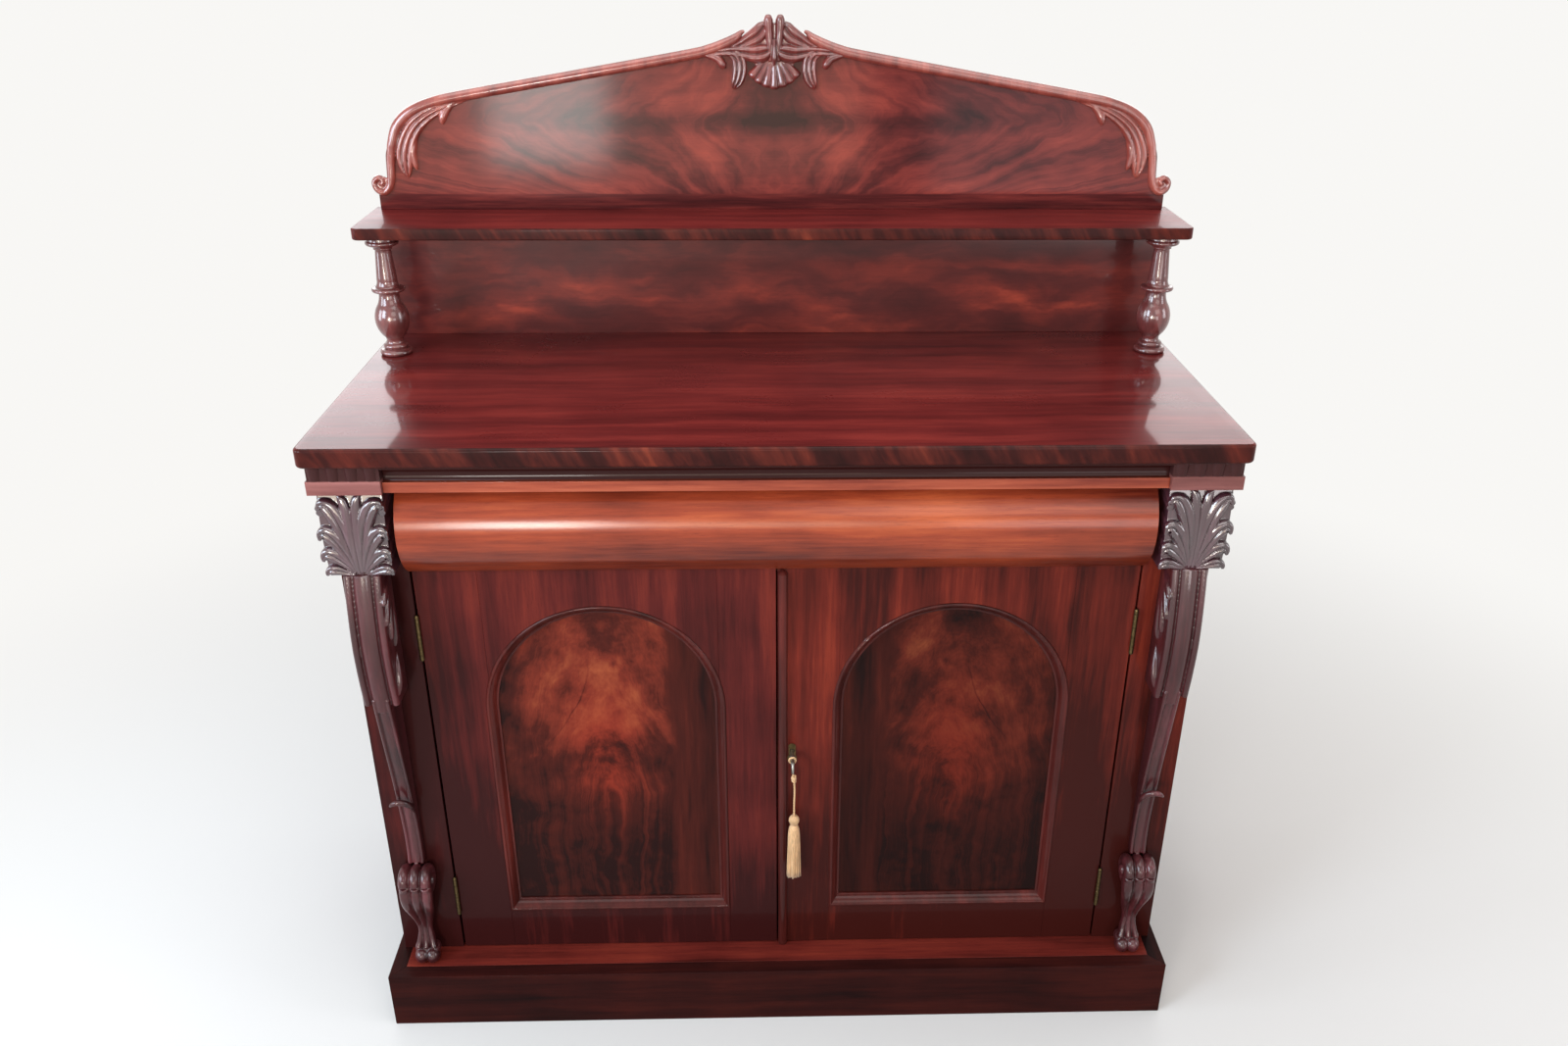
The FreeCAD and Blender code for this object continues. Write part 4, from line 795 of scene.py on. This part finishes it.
def rolls(bm):
    """The volute's three rolls, and the ribs that run down from them to the foot."""
    ribs = ((1.0, 0, 36, 236, 8, 8), (1.0, 0, 38, 222, 8, 8), (0.96, 0, 34, 204, 7.4, 7),
            (0.78, 0, 26, 184, 5.8, 6), (0.58, 0, 20, 165, 4.4, 5), (0.45, 0, 18, 148, 3.6, 4.5),
            (0.5, 1, 22, 132, 3.8, 5), (0.7, 1, 28, 118, 4.6, 6))
    for lean in (-1, 0, 1):
        x = lean * ROLL_PITCH
        roll = []
        for i in range(13):
            turn = math.radians(30 * i)
            out = VOLUTE_OUT + ROLL_RADIUS * math.cos(turn)
            roll.append(from_face(x, out, VOLUTE_Z + ROLL_RADIUS * math.sin(turn), 9.5, 8.0))
        strand(bm, roll, (1, 0, 0), sides=14, steps=3)
        strand(bm, [from_face(x * share + lean * spread, *rest) for share, spread, *rest in ribs])
    for hand in (-1, 1):
        bead(bm, (CONSOLE_X + hand * 22.5, FACE - VOLUTE_OUT, VOLUTE_Z), (4.5, 8, 8))


def foot(bm):
    """The stem under the volute and the pads it stands on."""
    stem = ((20, VOLUTE_Z, 20, 18), (21, 222, 20, 18), (17, 198, 17, 15), (12, 176, 12.5, 12),
            (10, 158, 9, 10), (11, 143, 8.5, 9), (15, 126, 11, 12), (18, PLINTH_TOP + 4, 12, 12))
    strand(bm, [from_face(0, *row) for row in stem], sides=20)
    for hand in (-1, 1):
        bead(bm, (CONSOLE_X + hand * 8, FACE - 27, PLINTH_TOP + 11), (10.5, 13, 12))
        bead(bm, (CONSOLE_X + hand * 12, FACE - 19, PLINTH_TOP + 20), (7, 10, 9))


def inner_leaves(bm):
    """Leaves on the scroll's inner side: a spray under the capital, and a small one at the step."""
    for out, z, wide in ((52, 712, 5.5), (50, 682, 6), (40, 656, 5.5), (28, 640, 4)):
        strand(bm, [from_face(-22, 14, SPRAY_TOP, 3, 3),
                    from_face(-24, mid(14, out, 0.5), mid(SPRAY_TOP, z, 0.42), wide, 4),
                    from_face(-25, out - 3, mid(SPRAY_TOP, z, 0.86), wide * 0.8, 3.5),
                    from_face(-24, out, z, 1, 1.5)], (-1, 0, 0))
    strand(bm, [from_face(-21, 24, 628, 2, 3), from_face(-25, 32, 606, 6, 4),
                from_face(-26, 40, 588, 4.5, 4), from_face(-24, 44, 574, 1, 1.5)], (-1, 0, 0))


def console():
    bm = bmesh.new()
    for carve in (reeds, hook, rolls, foot, inner_leaves):
        carve(bm)
    limits = [((0, FACE, 0), (0, 1, 0)), ((0, 0, PLINTH_TOP), (0, 0, -1)),
              ((0, 0, CAPITAL_FOOT + 1), (0, 0, 1))]
    return carved_mesh("console", bm, 1.1, 2, limits)


# on the pediment: way from the middle, level when the crest's top is at DRAWN_TOP, half width, half height
DRAWN_TOP = 1378
RAIL = ((41, 1356, 2, 4), (46, 1354, 3.5, 5), (53, 1347.5, 6, 7), (68, 1340, 7, 7.5), (90, 1332, 7.4, 7.5),
        (123, 1324.5, 7.5, 7.5), (280, 1297.5, 7.5, 7.5), (436, 1271, 7.5, 7.5), (480, 1261.5, 7.5, 7.5),
        (511, 1248.5, 8, 8), (531, 1230, 8, 8), (540, 1208, 7.6, 8), (543, 1198, 6.6, 7.5),
        (546, 1180, 6.2, 7), (548, 1160, 5.8, 7), (552, 1147, 5.6, 7), (561, 1139.5, 5.2, 7.5),
        (570, 1144, 5, 7.5), (572.5, 1154, 4.6, 7.5), (566, 1160, 4, 7.5), (560, 1156, 4, 7.5),
        (562, 1150.5, 4, 8))
SHOULDER_LEAF = ((418, 1270, 1.5, 2), (450, 1261, 4.5, 5), (480, 1249, 8, 7), (503, 1233, 10.5, 8.5),
                 (517, 1213, 11.5, 9), (524, 1193, 12, 9), (525, 1176, 9.5, 8), (524, 1165, 5, 6),
                 (523, 1160, 1.5, 3))
SHOULDER_TIPS = (
    ((448, 1262, 3, 4), (459, 1252, 5.5, 6), (465, 1243, 6, 7.5), (466, 1236, 4, 6), (465, 1233, 1.5, 3)),
    ((505, 1222, 3, 4), (510, 1206, 5, 7), (513, 1190, 5, 7.5), (511, 1176, 3.5, 6), (509, 1171, 1, 3)),
)
SCROLL_EYE = (562, 1151)
EYE_RADIUS = 11


def on_panel(x, z, wide, high, out=0.0):
    """A station on the pediment's face."""
    return (x, PANEL_FACE - out, z, wide, high)


def shoulder():
    """The pediment's rail, its fluted leaf at the shoulder and its scroll at the end."""
    bm = bmesh.new()
    lift = CREST_TOP - DRAWN_TOP
    rail, leaf, *tips = ([on_panel(x, z + lift, wide, high) for x, z, wide, high in rows]
                         for rows in (RAIL, SHOULDER_LEAF, *SHOULDER_TIPS))
    strand(bm, rail, steps=4)
    fluted(bm, leaf, 3)
    for tip in tips:
        strand(bm, tip)
    x, z = SCROLL_EYE
    eye = Matrix.Translation(Vector((x, PANEL_FACE - 1, z + lift)) * MM)
    radius = EYE_RADIUS * MM
    bmesh.ops.create_cone(bm, cap_ends=True, segments=32, radius1=radius, radius2=radius, depth=6 * MM,
                          matrix=eye @ Matrix.Rotation(math.pi / 2, 4, "X"))
    return carved_mesh("shoulder", bm, 0.9, 2, [((0, PANEL_FACE, 0), (0, 1, 0))])


# one half of the crest: way from the middle, way down from the top, half width, half height, way forward
CREST_GROUND = ((0, 80), (0, 12), (8, 6), (14, 8), (17, 13), (21, 19), (30, 26), (41, 31), (47, 42),
                (44, 52), (30, 60), (16, 78))
CREST_HORN = ((5, 60, 4, 5, 3), (6, 40, 5, 8, 3), (7.6, 22, 6, 9, 3), (8.2, 11, 6.6, 9, 4),
              (8.2, 5, 6.2, 8, 5), (8.2, 1.5, 4, 5, 4))
CREST_LEAVES = (
    (2, ((62, 44, 2.5, 4), (48, 40, 6, 7), (36, 34, 9, 8.5), (24, 27, 10.5, 9.5), (15, 17, 8.5, 8.5),
         (11, 11, 4, 4))),
    (2, ((104, 50, 1.5, 3), (80, 49, 4.5, 6), (60, 48, 6, 8), (44, 49, 8, 9), (30, 51, 10, 10.5, 1),
         (18, 50, 11, 11.5, 2), (9, 47, 8.5, 10, 2), (5, 45, 4, 5, 2))),
    (1, ((104, 51, 2.5, 4), (89, 54, 4.6, 6), (78, 58, 6, 7.5), (72, 65, 6, 8), (70, 70.5, 3.5, 5))),
    (3, ((68, 48, 3.5, 5), (57, 51, 7, 8), (50, 58, 9, 9.5), (48, 70, 9.5, 10), (50, 82, 9, 10),
         (54, 91, 6.5, 9), (57, 97, 2.5, 4))),
)
CREST_BUD = ((32, 2, 5, 6), (44, 3, 7, 8), (56, 4, 8, 8), (65, 1.5, 4, 7))
SHELL_HUB = 43
SHELL_RIB = ((0.3, 3.2, 4), (0.55, 4.6, 7), (0.8, 6.2, 9.5), (0.94, 7.0, 10), (1.0, 5.6, 7))
SHELL_REACH = 54


def crest():
    """Twin-lobed crest: leaf sprays over a fluted shell, with a drop at each side."""
    bm = bmesh.new()
    z = CREST_TOP
    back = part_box("crest_carving")[1].y / MM
    for hand in (-1, 1):
        ground = [(hand * x, PANEL_FACE - 5, z - down) for x, down in CREST_GROUND]
        slab(bm, ground, (0, 5 + back - PANEL_FACE, 0))
        strand(bm, [on_panel(hand * x, z - down, *rest) for x, down, *rest in CREST_HORN])
        for flutes, leaf in CREST_LEAVES:
            rows = [on_panel(hand * x, z - down, *rest) for x, down, *rest in leaf]
            if flutes == 1:
                strand(bm, rows)
            else:
                fluted(bm, rows, flutes)
    strand(bm, [on_panel(0, z - down, *rest) for down, *rest in CREST_BUD])
    for i in range(-3, 4):
        turn = math.radians(13.5 * i)
        reach = SHELL_REACH - abs(i) * 1.2
        strand(bm, [on_panel(reach * share * math.sin(turn), z - SHELL_HUB - reach * share * math.cos(turn),
                             wide, high) for share, wide, high in SHELL_RIB])
    return carved_mesh("crest", bm, 0.7, 1)


# ---------------------------------------------------------------- materials of the pieces

# where a finish or its painted light changes, in metres
# the cushion's painted highlight runs along its belly
BELLY = mid(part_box("drawer_front")[0].z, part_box("drawer_front")[1].z, 0.56)
BOARD_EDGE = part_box("top_board")[0].y + 0.0035
SHELF_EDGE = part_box("gallery_shelf")[0].y + 0.0015
FILLET_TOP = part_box("frieze_rail")[0].z + 0.014
BAND_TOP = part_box("console_block_right")[0].z + 0.018
LEFT_DOOR = middle_of("door_panel_left").x * MM
RIGHT_DOOR = middle_of("door_panel_right").x * MM
# dark, middle and light tones of the straight-grained boards; the plinth's are a darker copy that paints
# its shade by the floor
PLINTH_SHADE_TONES = (tint(21, 9, 9), tint(46, 17, 15), tint(66, 25, 20))
FRAME_TONES = (tint(47, 16, 16), tint(83, 29, 27), tint(116, 44, 35))
WARM_TONES = (tint(54, 18, 15), tint(98, 34, 26), tint(138, 54, 37))
BOARD_TONES = (tint(62, 20, 21), tint(101, 34, 33), tint(131, 48, 43))

# The violet cast in the tones of carved_wood and leaf_wood is a painted cool reflection.
carved = carved_wood("carved_wood", tint(34, 13, 15), tint(67, 27, 30), tint(99, 46, 52), 1.75)
crest_wood = carved_wood("crest_wood", tint(66, 26, 25), tint(114, 49, 45), tint(150, 76, 69))
leaf_wood = carved_wood("leaf_wood", tint(36, 19, 23), tint(69, 37, 45), tint(100, 62, 75), 1.95)
rail_wood = carved_wood("rail_wood", tint(98, 42, 37), tint(140, 66, 57), tint(174, 94, 80))
turned_wood = carved_wood("turned_wood", tint(58, 26, 26), tint(101, 49, 48), tint(135, 75, 72))
aged_brass = worn_metal("aged_brass", tint(111, 94, 64))
key_steel = worn_metal("key_steel", tint(182, 178, 169))
pine_across = softwood("softwood_across", "x", 1.3)
pine_upright = softwood("softwood_upright", "z", 2.6)
pine_deep = softwood("softwood_deep", "y", 3.1)

# pale tones of the frieze's fillet and the blocks' band, partly a painted highlight; the blocks' cool cast
# is a painted reflection
FRIEZE_TONES = (tint(120, 49, 36), tint(156, 73, 51), tint(188, 101, 73))
BLOCK_TONES = (tint(94, 54, 51), tint(124, 75, 72), tint(152, 98, 94))
BEAD_TONES = (DARK, tint(68, 25, 22), tint(96, 36, 31))
CUSHION_TONES = (tint(92, 33, 22), tint(148, 62, 37), tint(190, 94, 53))

bead_wood = plain_mahogany("bead_wood", "z", 2.2, BEAD_TONES, 0.3, 0.3)
# tint(60, 31, 31) paints the shade over the blocks' hollows
block_wood = filleted("block_wood", 4.4, BAND_TOP, tint(60, 31, 31), *BLOCK_TONES)
side_wood = plain_mahogany("side_wood", "z", 2.4, FRAME_TONES)
left_frame = plain_mahogany("left_frame_wood", "z", 8.2, FRAME_TONES, painted_light=left_painted_shade)
right_frame = plain_mahogany("right_frame_wood", "z", 9.1, WARM_TONES, painted_light=right_painted_shade)

MATERIALS = {
    "plinth_front": plain_mahogany("plinth_front_wood", "x", 0.4, PLINTH_SHADE_TONES, 0.4, 0.04, shine=0.03),
    "plinth_sides": plain_mahogany("plinth_side_wood", "y", 0.9, PLINTH_SHADE_TONES, 0.4, 0.04, shine=0.03),
    "bottom_board": plain_mahogany("bottom_board_wood", "x", 1.4),
    "front_stile_left": plain_mahogany("left_post_wood", "z", 3.3, FRAME_TONES, painted_light=left_painted_shade),
    "front_stile_right": plain_mahogany("right_post_wood", "z", 3.3, WARM_TONES, painted_light=door_painted_shade),
    "divider_rail": plain_mahogany("divider_wood", "x", 3.9),
    # tint(47, 18, 17) paints the shade over the frieze's hollow under the board
    "frieze_rail": filleted("frieze_wood", 4.8, FILLET_TOP, tint(47, 18, 17), *FRIEZE_TONES),
    "top_board": crossbanded("top_wood", 5.5, BOARD_TONES, BOARD_EDGE, gloss=0.26, coat=0.5),
    "gallery_shelf": crossbanded("shelf_wood", 6.1, BOARD_TONES, SHELF_EDGE, gloss=0.34, coat=0.2),
    "gallery_back": flowing_back("gallery_wood", 6.7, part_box("gallery_back")[1].y),
    "pediment_panel": mirrored_flame("pediment_wood", 7.7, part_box("pediment_panel")[1].y),
    "door_panel_left": feathered_panel("left_panel_wood", LEFT_DOOR, hand=1, shade=1.0, seed=9.9),
    "door_panel_right": feathered_panel("right_panel_wood", RIGHT_DOOR, hand=-1, shade=0.62, seed=10.6),
    "meeting_bead": bead_wood,
    "drawer_front": plain_mahogany("cushion_wood", "x", 11.6, CUSHION_TONES, gloss=0.3, coat=0.7, stripe=24,
                                   haze=0.18, painted_light=cushion_painted_light, shine=0.02),
}
for side, frame_wood in (("left", left_frame), ("right", right_frame)):
    for name, wood in (("door_stiles", frame_wood), ("door_rails", frame_wood),
                       ("door_moulding", bead_wood), ("carcase_side", side_wood),
                       ("console_block", block_wood), ("column", turned_wood)):
        MATERIALS[f"{name}_{side}"] = wood
for node in ("drawer_sides", "drawer_runners", "drawer_kickers", "shelf_cleats"):
    MATERIALS[node] = pine_deep
for node in ("back_boards", "plinth_glue_blocks"):
    MATERIALS[node] = pine_upright
BY_SLOT = {"brass_fittings": aged_brass, "key_steel": key_steel, "secondary_pine": pine_across}
MADE_ANEW = ("capital", "console_left", "console_right", "pediment_rail", "crest_carving", "tassel")
BOARD_SLOTS = ("mahogany", "flame_veneer", "secondary_pine")

slots = {subpart["node"]: subpart["material_slot"] for subpart in frame["record"]["subparts"]}
for node in frame["nodes"]:
    if not node.startswith(MADE_ANEW):
        slot = slots[node]
        dress(node, MATERIALS.get(node) or BY_SLOT[slot], slot, 0.6 if slot in BOARD_SLOTS else 0.2)

carved_pair("capital", capital(), leaf_wood)
carved_pair("console", console(), carved)
carved_pair("pediment_rail", shoulder(), rail_wood)
add_piece("crest_carved", crest(), crest_wood, body_of("crest_carving"), "carved_mahogany", "crest_carving")


# ---------------------------------------------------------------- key tassel

# the cord's route from the loop on the key down into the tassel, in metres
ROUTE = ((0.018, -0.205, 0.4401), (0.0185, -0.205, 0.425), (0.0206, -0.205, 0.409), (0.0212, -0.205, 0.391),
         (0.0204, -0.205, 0.372), (0.0206, -0.205, 0.352), (0.0202, -0.205, 0.334), (0.0207, -0.205, 0.317),
         (0.0204, -0.205, 0.302))
# in millimetres: the cord's lay, and a ply's half width and way from the cord's line
TWIST = 9.0
PLY = 0.84
PLY_OUT = 0.68
RIBS = 26
THREADS = 34


def spline_points():
    """Points along the smooth line of the cord."""
    line = bpy.data.curves.new("cord_line", "CURVE")
    line.dimensions = "3D"
    spline = line.splines.new("NURBS")
    spline.points.add(len(ROUTE) - 1)
    for point, place in zip(spline.points, ROUTE):
        point.co = (*place, 1)
    spline.order_u = 3
    spline.use_endpoint_u = True
    spline.resolution_u = 16
    return [v.co.copy() for v in worked_out(placed("cord_line", line)).vertices]


def sort_faces(bm):
    """Put the faces in the order of their corners: an extrusion leaves them in another each run."""
    bm.verts.index_update()
    count = len(bm.verts)

    def rank(face):
        corners = [v.index for v in face.verts]
        return min(corners) * count + max(corners)

    bm.faces.sort(key=rank)


def silk_mesh(name, bm):
    bmesh.ops.recalc_face_normals(bm, faces=bm.faces)
    sort_faces(bm)
    mesh = mesh_from(bm, name)
    mesh.polygons.foreach_set("use_smooth", [True] * len(mesh.polygons))
    return mesh


def twisted_cord(points):
    """Two plies laid up round the cord's line."""
    bm = bmesh.new()
    for start in (0, math.pi):
        rows = []
        for point in points:
            x, y, z = point / MM
            turn = start + 2 * math.pi * z / TWIST
            rows.append((x + PLY_OUT * math.cos(turn), y + PLY_OUT * math.sin(turn), z, PLY, PLY))
        strand(bm, rows, sides=8, steps=1)
    return silk_mesh("tassel_cord_twist", bm)


def wrap(bm, x, y, top, pitch, radius, thick, turns):
    """Thread wound round an upright line."""
    rows = []
    for i in range(12 * turns + 1):
        angle = math.pi / 6 * i
        z = top - pitch * i / 12
        rows.append((x + radius * math.cos(angle), y + radius * math.sin(angle), z, thick, thick))
    strand(bm, rows, (0, 0, 1), sides=8, steps=2)


def knot():
    bm = bmesh.new()
    wrap(bm, 20.0, -205, 420, 3.0, 2.0, 1.5, 3)
    wrap(bm, 19.8, -205.4, 417, 1.0, 2.6, 1.3, 1)
    return silk_mesh("tassel_knot", bm)


def thread(bm, x, y, rows, turn, wide, high):
    """One thread of the tassel, down through rows of radius, level and angle past the turn."""
    stations = [(x + r * math.cos(turn + past), y + r * math.sin(turn + past), z, wide, high)
                for r, z, past in rows]
    strand(bm, stations, (math.cos(turn), math.sin(turn), 0), sides=6, steps=3)


def tassel_head():
    """Threads drawn over a ball, tied at the neck and left to hang as a skirt."""
    bm = bmesh.new()
    x, y, _ = middle_of("tassel_head")
    low, top = (corner.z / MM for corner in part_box("tassel_head"))
    neck = top - 17
    ball = ((top - 1, 1.5), (top - 4, 5.4), (top - 8, 6.6), (top - 13, 5.2), (neck, 3.0))
    skirt = ((neck + 1, 3.0), (neck - 6, 6.0), (neck - 18, 7.0), (neck - 45, 7.4), (low + 2, 8.2))
    for core in (ball, skirt):
        strand(bm, [(x, y, z, r, r) for z, r in core], sides=24)
    cover = ((1.6, top - 0.6, 0), (5.2, top - 3, 0), (7.0, top - 8, 0), (5.6, top - 13, 0), (3.2, neck, 0))
    for i in range(RIBS):
        thread(bm, x, y, cover, 2 * math.pi * i / RIBS, 0.85, 0.6)
    chance = random.Random(5)
    for i in range(THREADS):
        lean = chance.uniform(-0.05, 0.05)
        spread = chance.uniform(0.9, 1.06)
        end = low + chance.uniform(0.3, 4.0)
        fall = ((3.2, neck + 1), (6.2, neck - 5), (7.6, neck - 16),
                (8.2 * spread, neck - 42), (9.4 * spread, end))
        rows = [(r, z, lean * (neck - z) / 40) for r, z in fall]
        thread(bm, x, y, rows, 2 * math.pi * i / THREADS, 1.05, 0.8)
    wrap(bm, x, y, neck + 2.4, 1.3, 3.6, 0.75, 3)
    return silk_mesh("tassel_head_silk", bm)


cream = silk("cream_silk", tint(224, 182, 136))
route = spline_points()
swings = body_of("tassel_cord")
cord = add_piece("tassel_cord_twist", twisted_cord(route), cream, swings, "tassel_silk", "tassel_cord")
head = add_piece("tassel_head_silk", tassel_head(), cream, swings, "tassel_silk", "tassel_head")
tie = add_piece("tassel_knot", knot(), cream, swings, "tassel_silk")
loop = dress("tassel_loop", cream, "tassel_silk", 0)


# ---------------------------------------------------------------- floor, light and camera

def floor():
    """A pale floor that fades into the room far away, and throws little light back up."""
    bm = bmesh.new()
    bmesh.ops.create_grid(bm, x_segments=1, y_segments=1, size=60)
    mesh = mesh_from(bm, "floor")
    piece = placed("floor", mesh)
    cloth = Finish("pale_floor")
    x, y, _ = cloth.axes()
    away = (x * x + y * y) ** 0.5
    shown = cloth.shown()
    far = away.between(0.75, 2.3) * shown
    colour = cloth.mix(shown, (0.13, 0.12, 0.115), (0.64, 0.635, 0.625))
    near = cloth.node("ShaderNodeBsdfDiffuse", inputs={"Color": colour})
    glow = cloth.node("ShaderNodeEmission", inputs={"Color": (0.94, 0.93, 0.91), "Strength": 1.0})
    both = cloth.node("ShaderNodeMixShader", inputs={0: far, 1: near, 2: glow})
    cloth.node("ShaderNodeOutputMaterial", inputs={"Surface": both})
    mesh.materials.append(cloth.owner)


def softbox(name, place, aim, width, height, watts, colour):
    light = bpy.data.lights.new(name, "AREA")
    light.shape = "RECTANGLE"
    light.size = width
    light.size_y = height
    light.energy = watts
    light.color = colour
    lamp = placed(name, light)
    lamp.location = place
    lamp.rotation_euler = (Vector(aim) - Vector(place)).to_track_quat("-Z", "Y").to_euler()
    lamp.visible_camera = False


def room():
    """A pale room: dim in front, brighter behind and above, for what lights the piece."""
    world = Finish("pale_room", world=True)
    direction = world.node("ShaderNodeTexCoord", output="Generated")
    split = world.node("ShaderNodeSeparateXYZ", inputs={0: direction})
    ahead = Value(world, split.socket.node.outputs[1])
    up = Value(world, split.socket.node.outputs[2])
    level = ahead.between(-0.1, 0.5) * 0.5 + up.between(0.2, 0.9) * 0.18 + 0.13
    shade = world.mix(level, (0.0, 0.0, 0.0), (1.0, 0.98, 0.97))
    colour = world.mix(world.shown(), shade, (0.93, 0.925, 0.905))
    back = world.node("ShaderNodeBackground", inputs={"Color": colour, "Strength": 1.0})
    world.node("ShaderNodeOutputWorld", inputs={"Surface": back})
    bpy.context.scene.world = world.owner


# in pixels of the picture, which is 1600 wide
PICTURE_WIDTH = 1600
FOCAL = 1309.3
# in metres, and radians down, to the right and over
CAMERA_AT = (-0.02023, -1.67343, 1.50217)
PITCH = 0.46397
YAW = 0.03007
ROLL = 0.00593


def camera():
    data = bpy.data.cameras.new("camera")
    data.sensor_width = 36
    data.lens = FOCAL / PICTURE_WIDTH * data.sensor_width
    data.shift_x = -0.0089
    data.shift_y = 0.0202
    data.clip_end = 200
    eye = placed("camera", data)
    turn = Matrix.Rotation(-YAW, 4, "Z") @ Matrix.Rotation(math.pi / 2 - PITCH, 4, "X")
    eye.matrix_world = Matrix.Translation(CAMERA_AT) @ turn @ Matrix.Rotation(ROLL, 4, "Z")
    bpy.context.scene.camera = eye


# name, place and aim in metres, width and height, watts and colour
LAMPS = (
    ("window", (-0.78, -2.7, 0.95), (-0.1, 0, 0.8), 0.42, 0.54, 24, (1.0, 0.97, 0.94)),
    ("low_band", (-0.55, -2.75, 0.85), (0, 0, 0.85), 1.9, 0.5, 15, (1.0, 0.86, 0.66)),
    ("left_front", (-2.4, -2.0, 1.8), (0, 0, 0.9), 1.1, 1.5, 72.2, (0.72, 0.86, 1.0)),
    ("left_window", (-3.0, -0.7, 1.3), (0, 0, 0.8), 0.9, 1.5, 36, (0.8, 0.9, 1.0)),
    ("right_window", (3.0, -1.1, 1.4), (0, 0, 0.8), 0.9, 1.5, 22.4, (0.96, 0.94, 1.0)),
    ("front_fill", (1.1, -3.0, 2.3), (0, 0, 0.8), 2.0, 1.2, 15.5, (1.0, 0.94, 0.88)),
    ("right_glow", (1.05, -2.7, 0.75), (0.3, 0, 0.8), 0.9, 0.7, 8, (1.0, 0.96, 0.96)),
    ("ceiling", (0.0, -0.5, 3.2), (0, 0, 0.6), 3.0, 2.4, 53.3, (1.0, 0.98, 0.96)),
    ("back_left", (-1.4, 2.6, 1.85), (-0.55, 0, 0.93), 1.1, 1.0, 11.2, (0.97, 0.96, 1.0)),
    ("back_right", (1.4, 2.6, 1.85), (0.55, 0, 0.93), 1.1, 1.0, 8.6, (1.0, 0.95, 0.97)),
)
floor()
room()
for lamp in LAMPS:
    softbox(*lamp)
camera()
bpy.context.scene.view_settings.view_transform = "Standard"
